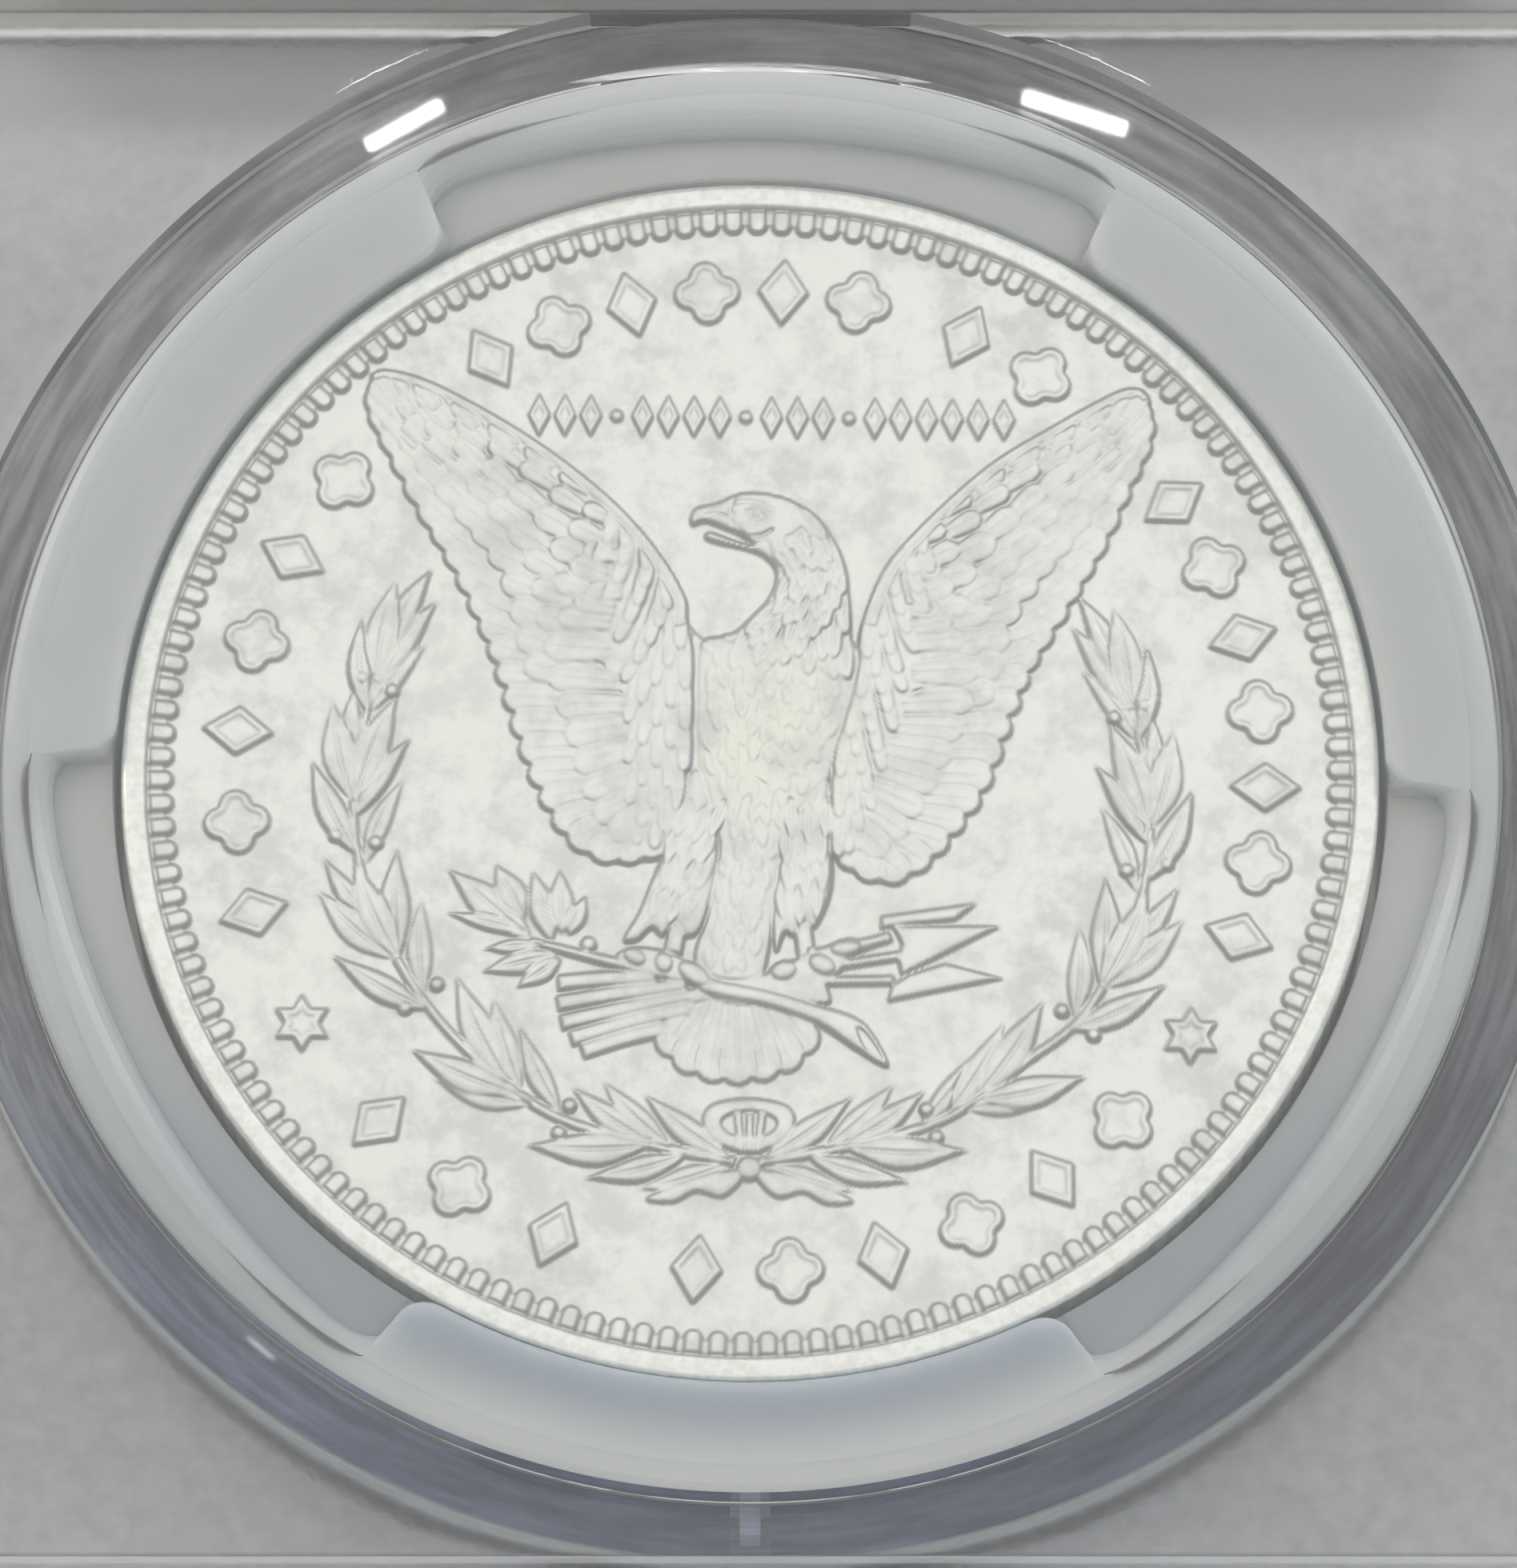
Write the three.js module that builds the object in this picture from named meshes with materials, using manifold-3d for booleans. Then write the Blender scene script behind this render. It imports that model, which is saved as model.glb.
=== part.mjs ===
// Graded coin slab: a sealed clear case that holds one large silver coin.
// Millimetres, +Z up. The case lies on its front, so its back faces up and the label end points to +Y.
// The origin is the bottom centre of the whole case.
import * as THREE from 'three';
import { mergeVertices } from 'three/addons/utils/BufferGeometryUtils.js';
import Module from 'manifold-3d';

const wasm = await Module();
wasm.setup();

// ---- Driving dimensions ----
const CASE = { width: 60.3, height: 82.6, thickness: 8.0, corner: 3.2 };
const SEAM_GAP = 0.3; // between the two welded halves
const FIT_GAP = 0.3; // between pieces that touch
const SHEET_GAP = 0.1; // between the thin sheets of the label stack
const LIP = 0.5; // height of each stacking lip
const PLATE = 1.3; // thickness of each half's window plate
const WALL = 2.2; // thickness of the perimeter wall
const BACK_LIP = { outer: 1.9, inner: 3.7 }; // insets of the back's lip from the case's edge
const FRONT_LIP = { outer: 0, inner: 1.6 }; // the front's lip goes round the next slab's back lip
const WELD = { start: 0.75, end: 1.45, rise: 0.75, room: 0.3 }; // ridge on the front, groove in the back

const COIN = { radius: 19.05, thickness: 2.4, rim: 0.75, border: 1.55, field: 0.25, relief: 0.15 };
const WELL = { inner: 22.7, outer: 24.8, notch: 1.2 };
const GASKET = { pads: 3, pad: 60, turn: -1.5, corner: 1.0, reach: 20.6, ends: 21.3 };
const KEY = { width: 0.6, reach: 23.6, root: 2.2 };
const EDGE_TO_WELL = 3.8; // from the case's lower edge to the well wall

const LABEL = { width: 50.6, height: 23.2, thickness: 0.4, corner: 1.2, ledge: 1.0, y: 25.1 };
const FRAME = { back: 1.6, front: 0.9 }; // thickness of the label compartment's wall in each half
const SEAL = { width: 12, height: 12, thickness: 0.15, corner: 1.5, x: 18 };
const TAG = { width: 40, height: 16, film: 0.25, foil: 0.1, track: 0.5, pitch: 1.1, turns: 4, chip: 1.6, chipHigh: 0.35 };
const ROUND = 96; // facets of a full circle

// ---- Places that follow from them ----
const MID = CASE.thickness / 2;
const COIN_Y = -CASE.height / 2 + EDGE_TO_WELL + WELL.outer;
const BACK_FACE = CASE.thickness - LIP; // outer face of the back's plate
const FRONT_FACE = LIP;
const BACK_INSIDE = BACK_FACE - PLATE;
const FRONT_INSIDE = FRONT_FACE + PLATE;
const STACK = labelStack();

function labelStack() {
  // Both cards with the radio tag between them, centred on the seam.
  const chipZone = Math.max(TAG.foil, TAG.chipHigh);
  const total = 2 * LABEL.thickness + TAG.film + chipZone + 3 * SHEET_GAP;
  const front = MID - total / 2;
  const film = front + LABEL.thickness + SHEET_GAP;
  const tag = film + TAG.film + SHEET_GAP;
  const back = tag + chipZone + SHEET_GAP;
  return { front, film, tag, back, seal: back + LABEL.thickness + SHEET_GAP };
}

// ---- Solids ----
function toSolid(geometry) {
  const plain = geometry.clone();
  plain.deleteAttribute('normal');
  plain.deleteAttribute('uv');
  const merged = mergeVertices(plain, 1e-5);
  return new wasm.Manifold(new wasm.Mesh({
    numProp: 3,
    vertProperties: new Float32Array(merged.attributes.position.array),
    triVerts: new Uint32Array(merged.index.array),
  }));
}

function toMesh(name, solid, material) {
  const { vertProperties, triVerts } = solid.getMesh();
  const geometry = new THREE.BufferGeometry();
  geometry.setAttribute('position', new THREE.BufferAttribute(new Float32Array(vertProperties), 3));
  geometry.setIndex(new THREE.BufferAttribute(new Uint32Array(triVerts), 1));
  geometry.computeVertexNormals();
  const mesh = new THREE.Mesh(geometry, material);
  mesh.name = name;
  return mesh;
}

function roundedRectangle(path, width, height, radius, x = 0, y = 0) {
  const right = x + width / 2;
  const left = x - width / 2;
  const top = y + height / 2;
  const bottom = y - height / 2;
  path.moveTo(left + radius, bottom);
  path.lineTo(right - radius, bottom);
  path.absarc(right - radius, bottom + radius, radius, -Math.PI / 2, 0);
  path.lineTo(right, top - radius);
  path.absarc(right - radius, top - radius, radius, 0, Math.PI / 2);
  path.lineTo(left + radius, top);
  path.absarc(left + radius, top - radius, radius, Math.PI / 2, Math.PI);
  path.lineTo(left, bottom + radius);
  path.absarc(left + radius, bottom + radius, radius, Math.PI, 1.5 * Math.PI);
  return path;
}

// A prism of an outline between two heights.
function prism(shape, low, high, curveSegments = 3) {
  const geometry = new THREE.ExtrudeGeometry(shape, { depth: high - low, bevelEnabled: false, curveSegments });
  geometry.translate(0, 0, low);
  return toSolid(geometry);
}

function plate(width, height, radius, low, high, x = 0, y = 0) {
  return prism(roundedRectangle(new THREE.Shape(), width, height, radius, x, y), low, high);
}

// A band that follows the case's outline, from one inset to another.
function caseBand(outer, inner, low, high) {
  const shape = caseOutline(new THREE.Shape(), outer);
  shape.holes.push(caseOutline(new THREE.Path(), inner));
  return prism(shape, low, high);
}

function caseOutline(path, inset) {
  const radius = Math.max(CASE.corner - inset, 0.6);
  return roundedRectangle(path, CASE.width - 2 * inset, CASE.height - 2 * inset, radius);
}

function labelFrame(grow, shrink, low, high) {
  const y = LABEL.y;
  const outer = new THREE.Shape();
  roundedRectangle(outer, LABEL.width + 2 * grow, LABEL.height + 2 * grow, LABEL.corner + grow, 0, y);
  const hole = new THREE.Path();
  roundedRectangle(hole, LABEL.width - 2 * shrink, LABEL.height - 2 * shrink, LABEL.corner, 0, y);
  outer.holes.push(hole);
  return prism(outer, low, high);
}

// A solid of revolution about the coin's axis. The profile is a closed list of [radius, height].
function turned(profile) {
  const points = profile.map(([radius, height]) => new THREE.Vector2(radius, height));
  if (profile[0][0] > 0) points.push(points[0].clone());
  const geometry = new THREE.LatheGeometry(points, ROUND);
  geometry.rotateX(Math.PI / 2);
  return toSolid(geometry).translate([0, COIN_Y, 0]);
}

function ringWall(low, high) {
  return turned([[WELL.inner, low], [WELL.outer, low], [WELL.outer, high], [WELL.inner, high]]);
}

// ---- Case halves ----
// side is +1 for the back, whose outer face is up, and -1 for the front.
function shellHalf(side) {
  const at = (distance) => MID + side * distance; // height at a distance from the seam plane
  const slab = (make, from, to) => make(Math.min(at(from), at(to)), Math.max(at(from), at(to)));
  const seam = SEAM_GAP / 2;
  const inside = BACK_INSIDE - MID;
  const face = BACK_FACE - MID;
  const tip = MID;
  const embed = 0.4; // how far joined shapes run into each other
  const lip = side > 0 ? BACK_LIP : FRONT_LIP;
  const frame = side > 0 ? FRAME.back : FRAME.front;
  const ledge = side > 0 ? STACK.back + LABEL.thickness + FIT_GAP - MID : MID - STACK.front + FIT_GAP;

  let solid = slab((a, b) => prism(caseOutline(new THREE.Shape(), 0), a, b), inside, face);
  solid = solid.add(slab((a, b) => caseBand(0, WALL, a, b), seam, inside + embed));
  solid = solid.add(slab((a, b) => caseBand(lip.outer, lip.inner, a, b), face - embed, tip));
  solid = solid.add(slab(ringWall, seam, inside + embed));
  solid = solid.add(slab((a, b) => labelFrame(frame + FIT_GAP, -FIT_GAP, a, b), seam, inside + embed));
  solid = solid.add(slab((a, b) => labelFrame(frame, LABEL.ledge, a, b), ledge, inside + embed));

  return solid;
}

function backShell() {
  const groove = caseBand(
    WELD.start - WELD.room, WELD.end + WELD.room,
    MID, MID + WELD.rise + WELD.room + SEAM_GAP / 2);
  return shellHalf(1).subtract(groove);
}

function frontShell() {
  const ridge = caseBand(WELD.start, WELD.end, MID - SEAM_GAP, MID + WELD.rise);
  const middle = COIN_Y - (WELL.inner + WELL.outer) / 2;
  const notch = plate(WELL.notch, WELL.outer - WELL.inner + 0.8, 0.1, FRONT_INSIDE, MID, 0, middle);
  return shellHalf(-1).add(ridge).subtract(notch);
}

// ---- Soft ring ----
// The inner outline runs round the prongs at one radius and steps back between them.
function gasketOutline(padRadius) {
  const step = 360 / GASKET.pads;
  const half = GASKET.pad / 2;
  const softening = THREE.MathUtils.radToDeg(GASKET.corner / padRadius);
  const points = [];
  const put = (radius, degrees) => {
    const angle = THREE.MathUtils.degToRad(degrees);
    points.push(new THREE.Vector2(radius * Math.cos(angle), radius * Math.sin(angle)));
  };
  for (let pad = 0; pad < GASKET.pads; pad += 1) {
    const centre = 30 + GASKET.turn + pad * step;
    for (let a = -half + softening; a <= half - softening + 1e-6; a += (2 * (half - softening)) / 14) {
      put(padRadius, centre + a);
    }
    put(padRadius + 0.3 * GASKET.corner, centre + half - 0.3 * softening);
    put(padRadius + GASKET.corner, centre + half);
    const gap = step - GASKET.pad;
    for (let a = 0; a <= 1 + 1e-6; a += 0.1) {
      const bow = 1 - (2 * a - 1) ** 2;
      put(GASKET.ends + (GASKET.reach - GASKET.ends) * bow, centre + half + gap * (0.02 + 0.96 * a));
    }
    put(padRadius + GASKET.corner, centre + half + gap);
    put(padRadius + 0.3 * GASKET.corner, centre + half + gap + 0.3 * softening);
  }
  return points;
}

function gasketLayer(points, outerRadius, low, high) {
  const shape = new THREE.Shape().absarc(0, 0, outerRadius, 0, 2 * Math.PI);
  shape.holes.push(new THREE.Path(points));
  return prism(shape, low, high, ROUND / 2).translate([0, COIN_Y, 0]);
}

function gasket() {
  const low = FRONT_INSIDE + FIT_GAP;
  const high = BACK_INSIDE - FIT_GAP;
  const padRadius = COIN.radius + FIT_GAP;
  const outerRadius = WELL.inner - FIT_GAP;
  const body = gasketLayer(gasketOutline(padRadius), outerRadius, low, high);
  return body.add(gasketKey(outerRadius, low, MID - SEAM_GAP / 2));
}

// The key that stops the ring turning in its well. It stands in a notch of the front half's wall.
function gasketKey(outerRadius, low, high) {
  const tab = new THREE.Shape([
    new THREE.Vector2(-KEY.root / 2, -outerRadius + 0.6),
    new THREE.Vector2(-KEY.width / 2, -outerRadius - 0.05),
    new THREE.Vector2(-KEY.width / 2, -KEY.reach),
    new THREE.Vector2(KEY.width / 2, -KEY.reach),
    new THREE.Vector2(KEY.width / 2, -outerRadius - 0.05),
    new THREE.Vector2(KEY.root / 2, -outerRadius + 0.6),
  ]);
  return prism(tab, low, high).translate([0, COIN_Y, 0]);
}

// ---- Coin ----
function coin() {
  const half = COIN.thickness / 2;
  const rim = COIN.radius - COIN.rim;
  const border = COIN.radius - COIN.border;
  const chamfer = 0.12;
  const upper = [
    [border, half - COIN.field],
    [rim, half - COIN.relief],
    [rim + chamfer, half],
    [COIN.radius - chamfer, half],
    [COIN.radius, half - chamfer],
  ];
  const lower = upper.map(([radius, height]) => [radius, -height]).reverse();
  const profile = [[0, half - COIN.field], ...upper, ...lower, [0, COIN.field - half]];
  const blank = turned(profile.map(([radius, height]) => [radius, MID + height]).reverse());
  const field = half - COIN.field;
  const eagle = prism(eagleOutline(), MID + field - COIN.relief, MID + field + COIN.relief);
  const sun = prism(sunOutline(), MID - field - COIN.relief, MID - field + COIN.relief);
  return blank.add(eagle.translate([0, COIN_Y, 0])).add(sun.translate([0, COIN_Y, 0]));
}

// The eagle's plain silhouette: wings up, head to the left, tail below.
function eagleOutline() {
  const outline = [
    [-11.7, 12.5], [-5.6, 9.3], [-1.9, 5.3], [-1.4, 4.2], [-0.2, 4.5], [0.5, 6.4], [-1.8, 7.9],
    [0.4, 9.0], [2.6, 7.7], [3.2, 4.4], [5.4, 7.6], [12.0, 12.2], [10.8, 7.0], [8.2, 1.2],
    [4.6, -3.3], [2.7, -2.8], [2.4, -5.6], [2.2, -8.9], [0, -9.7], [-2.6, -8.9], [-3.2, -5.7],
    [-2.2, -2.9], [-5.3, -2.7], [-8.0, 1.4], [-10.2, 7.0],
  ];
  return new THREE.Shape(outline.map(([x, y]) => new THREE.Vector2(x, y)));
}

// The other side's device: a sun with plain rays.
function sunOutline() {
  const rays = 16;
  const points = [];
  for (let i = 0; i < 2 * rays; i += 1) {
    const radius = i % 2 ? 5.5 : 9.5;
    const angle = (i * Math.PI) / rays + Math.PI / 2;
    points.push(new THREE.Vector2(radius * Math.cos(angle), radius * Math.sin(angle)));
  }
  return new THREE.Shape(points);
}

// ---- Label stack ----
function card(base) {
  return plate(LABEL.width, LABEL.height, LABEL.corner, base, base + LABEL.thickness, 0, LABEL.y);
}

function seal() {
  return plate(
    SEAL.width, SEAL.height, SEAL.corner, STACK.seal, STACK.seal + SEAL.thickness,
    SEAL.x, LABEL.y);
}

function tagFilm() {
  return plate(TAG.width, TAG.height, 1, STACK.film, STACK.film + TAG.film, 0, LABEL.y);
}

// A flat track wound inwards, as one rectangular spiral with open ends.
function tagAntenna() {
  const route = [];
  let right = TAG.width / 2 - 1;
  let top = TAG.height / 2 - 1;
  let left = -right;
  let bottom = -top;
  route.push([left, bottom]);
  for (let turn = 0; turn < TAG.turns; turn += 1) {
    route.push([right, bottom], [right, top], [left, top]);
    bottom += TAG.pitch;
    route.push([left, bottom]);
    right -= TAG.pitch;
    top -= TAG.pitch;
    left += TAG.pitch;
    route.push([left, bottom]);
  }
  let track = null;
  for (let i = 1; i < route.length; i += 1) {
    const [x0, y0] = route[i - 1];
    const [x1, y1] = route[i];
    const length = Math.hypot(x1 - x0, y1 - y0) + TAG.track;
    const flat = y0 === y1;
    const strip = new THREE.BoxGeometry(flat ? length : TAG.track, flat ? TAG.track : length, TAG.foil);
    strip.translate((x0 + x1) / 2, LABEL.y + (y0 + y1) / 2, STACK.tag + TAG.foil / 2);
    track = track ? track.add(toSolid(strip)) : toSolid(strip);
  }
  return track;
}

function tagChip() {
  return plate(TAG.chip, TAG.chip, 0.1, STACK.tag, STACK.tag + TAG.chipHigh, 0, LABEL.y);
}

// ---- Materials ----
const paint = (color, roughness, metalness = 0, opacity = 1) => new THREE.MeshStandardMaterial({
  color, roughness, metalness, opacity, transparent: opacity < 1,
});
const clearPlastic = () => paint('#e6e9e9', 0.08, 0, 0.3);

const slab = new THREE.Group();
slab.add(
  toMesh('front_shell', frontShell(), clearPlastic()),
  toMesh('back_shell', backShell(), clearPlastic()),
  toMesh('gasket', gasket(), paint('#bcc4c6', 0.4, 0, 0.8)),
  toMesh('coin', coin(), paint('#dcdcd4', 0.25, 1)),
  toMesh('front_label', card(STACK.front), paint('#e9e6da', 0.8)),
  toMesh('back_label', card(STACK.back), paint('#e9e6da', 0.8)),
  toMesh('hologram_sticker', seal(), paint('#b9c0c9', 0.2, 1)),
  toMesh('nfc_film', tagFilm(), paint('#e4e0cf', 0.4)),
  toMesh('nfc_antenna', tagAntenna(), paint('#c2c4c6', 0.35, 1)),
  toMesh('nfc_chip', tagChip(), paint('#26282b', 0.4)),
);

export default slab;
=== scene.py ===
"""Looks of a graded coin slab: a welded clear case, a soft ring with three prongs and a struck silver coin.

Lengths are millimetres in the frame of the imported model. Meshes, nodes, lamps and the camera get metres.
"""

import math

import bpy
import numpy as np
from mathutils import Matrix, Vector


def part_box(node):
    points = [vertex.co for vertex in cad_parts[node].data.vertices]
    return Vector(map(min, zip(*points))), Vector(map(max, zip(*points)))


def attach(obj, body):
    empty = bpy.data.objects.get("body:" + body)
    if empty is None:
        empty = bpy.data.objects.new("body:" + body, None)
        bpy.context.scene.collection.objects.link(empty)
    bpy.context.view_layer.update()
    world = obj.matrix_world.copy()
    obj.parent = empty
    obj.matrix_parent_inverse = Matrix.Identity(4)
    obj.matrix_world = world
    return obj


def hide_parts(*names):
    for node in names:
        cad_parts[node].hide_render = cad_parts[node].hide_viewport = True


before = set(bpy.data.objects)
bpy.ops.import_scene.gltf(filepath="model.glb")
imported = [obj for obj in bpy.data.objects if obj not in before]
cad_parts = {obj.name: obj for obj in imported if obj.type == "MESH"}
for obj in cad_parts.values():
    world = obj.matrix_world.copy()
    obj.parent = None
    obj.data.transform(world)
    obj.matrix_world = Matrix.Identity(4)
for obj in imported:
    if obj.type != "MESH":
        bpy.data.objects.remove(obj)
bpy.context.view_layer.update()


# ---- Sizes ----------------------------------------------------------------------------------
MM = 0.001


def box_mm(node):
    low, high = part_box(node)
    return np.array(low) / MM, np.array(high) / MM


BACK_LOW, BACK_HIGH = box_mm("back_shell")
COIN_LOW, COIN_HIGH = box_mm("coin")
RING_LOW, RING_HIGH = box_mm("gasket")
LABEL_LOW, LABEL_HIGH = box_mm("back_label")
WIDTH, HEIGHT = (BACK_HIGH - BACK_LOW)[:2]
TOP = BACK_HIGH[2]
MID = TOP / 2
COIN_RADIUS = (COIN_HIGH[0] - COIN_LOW[0]) / 2
COIN_Y = (COIN_LOW[1] + COIN_HIGH[1]) / 2

CORNER = 3.2  # outline of the case
SEAM = 0.15  # from the middle to each half's joining face
LIP = 0.5
PLATE = 1.3  # thickness of the flat faces
WALL = 2.2  # of the case's sides
BACK_LIP = (1.9, 3.7)  # insets of the stacking lips' two sides
FRONT_LIP = (0.0, 1.6)
GROOVE = (0.45, 1.75, 1.2)  # insets and height of the weld groove in the back
RIDGE = (0.75, 1.45, 0.75)  # and of the ridge on the front
WELL = (22.7, 24.8)  # radii of the wall round the coin's well
NOTCH = 1.2  # width of the notch that holds the ring's key
LABEL_Y = (LABEL_LOW[1] + LABEL_HIGH[1]) / 2
LABEL_WIDTH, LABEL_HEIGHT = (LABEL_HIGH - LABEL_LOW)[:2]
LABEL_FRAME = {1: 1.6, -1: 0.9}  # wall round the cards, in the back and in the front

FIELD = 0.25  # depth of the coin's flat ground under its rim
BORDER = 17.4  # radius where the beads of the border begin
BEAD_HEADS = 17.76  # radius of the middles of their round heads, and the half width of a bead
BEAD_HALF = 0.27
RIM = 18.38  # radius where the rim begins, and where the border's mesh ends on its flat
RIM_FLAT = 18.44
DENTILS = 150
REEDS = 180
COIN_TURN = -0.7  # degrees that the coin lies turned in its ring
AROUND = 1800  # mesh columns round the coin: whole numbers of beads and of reeds
FEWEST = 450  # columns below which a closing face isn't halved any more

PAD_RADIUS = 19.2  # soft ring: radius of the three prongs, and their places in degrees
PAD_CENTRES = (28.5, 148.5, 268.5)
PAD_HALF = 30.0  # degrees from a prong's middle to its ends, and the radius of their corners in mm
PAD_CORNER = 0.9
GAP_REACH = (21.3, 20.6)  # radius between the prongs, at the ends and in the middle of a gap
RING_STEP = 21.85  # radii where the ring's top steps down, and of its outside
RING_OUTER = 22.64
RING_FOOT = 19.3  # radius that the sloping walls between the prongs reach, and their lowest height
RING_FOOT_Z = 4.85


# ---- Mesh helpers ---------------------------------------------------------------------------
CRISP_DEG = 12.0


def mesh_piece(name, points, faces, sharp_deg=CRISP_DEG):
    """An object from points in mm. Edges sharper than sharp_deg stay crisp and the rest are smooth."""
    mesh = bpy.data.meshes.new(name)
    mesh.from_pydata((np.asarray(points, float) * MM).tolist(), [], faces)
    mesh.validate()
    mesh.polygons.foreach_set("use_smooth", [True] * len(mesh.polygons))
    mesh.set_sharp_from_angle(angle=math.radians(sharp_deg))
    piece = bpy.data.objects.new(name, mesh)
    bpy.context.scene.collection.objects.link(piece)
    return piece


def rounded_rectangle(width, height, radius, x=0.0, y=0.0, steps=10):
    points = []
    for k, (sx, sy) in enumerate(((1, -1), (1, 1), (-1, 1), (-1, -1))):
        for i in range(steps + 1):
            a = math.radians(-90 + 90 * k + 90 * i / steps)
            points.append((x + sx * (width / 2 - radius) + radius * math.cos(a),
                           y + sy * (height / 2 - radius) + radius * math.sin(a)))
    return points


def case_outline(inset):
    return rounded_rectangle(WIDTH - 2 * inset, HEIGHT - 2 * inset, max(CORNER - inset, 0.6))


def soften(profile, radius=0.15, steps=4, closed=False):
    """A profile with its corners rounded."""
    p = np.array(profile, float)
    out = [] if closed else [p[0]]
    for k in range(0 if closed else 1, len(p) if closed else len(p) - 1):
        before, at, after = p[k - 1], p[k], p[(k + 1) % len(p)]
        reach = min(radius, 0.45 * np.hypot(*(before - at)), 0.45 * np.hypot(*(after - at)))
        a = at + (before - at) / np.hypot(*(before - at)) * reach
        b = at + (after - at) / np.hypot(*(after - at)) * reach
        for t in np.linspace(0, 1, steps + 1):
            out.append((1 - t) ** 2 * a + 2 * t * (1 - t) * at + t**2 * b)
    if not closed:
        out.append(p[-1])
    return out


def outward(piece):
    """Turns a closed mesh's faces out if its volume comes out negative."""
    mesh = piece.data
    mesh.calc_loop_triangles()
    co = np.empty(len(mesh.vertices) * 3)
    mesh.vertices.foreach_get("co", co)
    corners = np.empty(len(mesh.loop_triangles) * 3, int)
    mesh.loop_triangles.foreach_get("vertices", corners)
    a, b, c = co.reshape(-1, 3)[corners.reshape(-1, 3)].transpose(1, 0, 2)
    if (a * np.cross(b, c)).sum() < 0:
        mesh.flip_normals()
    return piece


def skin(name, rings, closed=False, sharp_deg=CRISP_DEG):
    """A body over rings of equally many points. It closes on itself as a band, or has a cap at each end."""
    count, total = len(rings[0]), len(rings)
    faces = [] if closed else [tuple(range(count))[::-1], tuple(range((total - 1) * count, total * count))]
    for k in range(total if closed else total - 1):
        m = (k + 1) % total
        for i in range(count):
            j = (i + 1) % count
            faces.append((k * count + i, k * count + j, m * count + j, m * count + i))
    if not closed and rings[-1][0][2] < rings[0][0][2]:
        faces = [f[::-1] for f in faces]
    return outward(mesh_piece(name, [p for ring in rings for p in ring], faces, sharp_deg))


def loft(name, outline, profile, closed=False):
    """A body whose sections are outline(inset) at each (inset, z) of the profile."""
    return skin(name, [[(x, y, z) for x, y in outline(inset)] for inset, z in profile], closed)


def circle_outline(radius, steps=288):
    angles = np.linspace(0, 2 * math.pi, steps, endpoint=False)
    return [(radius * math.cos(a), COIN_Y + radius * math.sin(a)) for a in angles]


def combine(body, tool, operation):
    """Joins tool to body or cuts it away, and removes tool."""
    change = body.modifiers.new("combine", "BOOLEAN")
    change.operation, change.object, change.solver = operation, tool, "MANIFOLD"
    made = bpy.data.meshes.new_from_object(body.evaluated_get(bpy.context.evaluated_depsgraph_get()))
    body.modifiers.clear()
    body.data = made
    bpy.data.objects.remove(tool)
    made.polygons.foreach_set("use_smooth", [True] * len(made.polygons))
    made.set_sharp_from_angle(angle=math.radians(CRISP_DEG))
    return body


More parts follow.
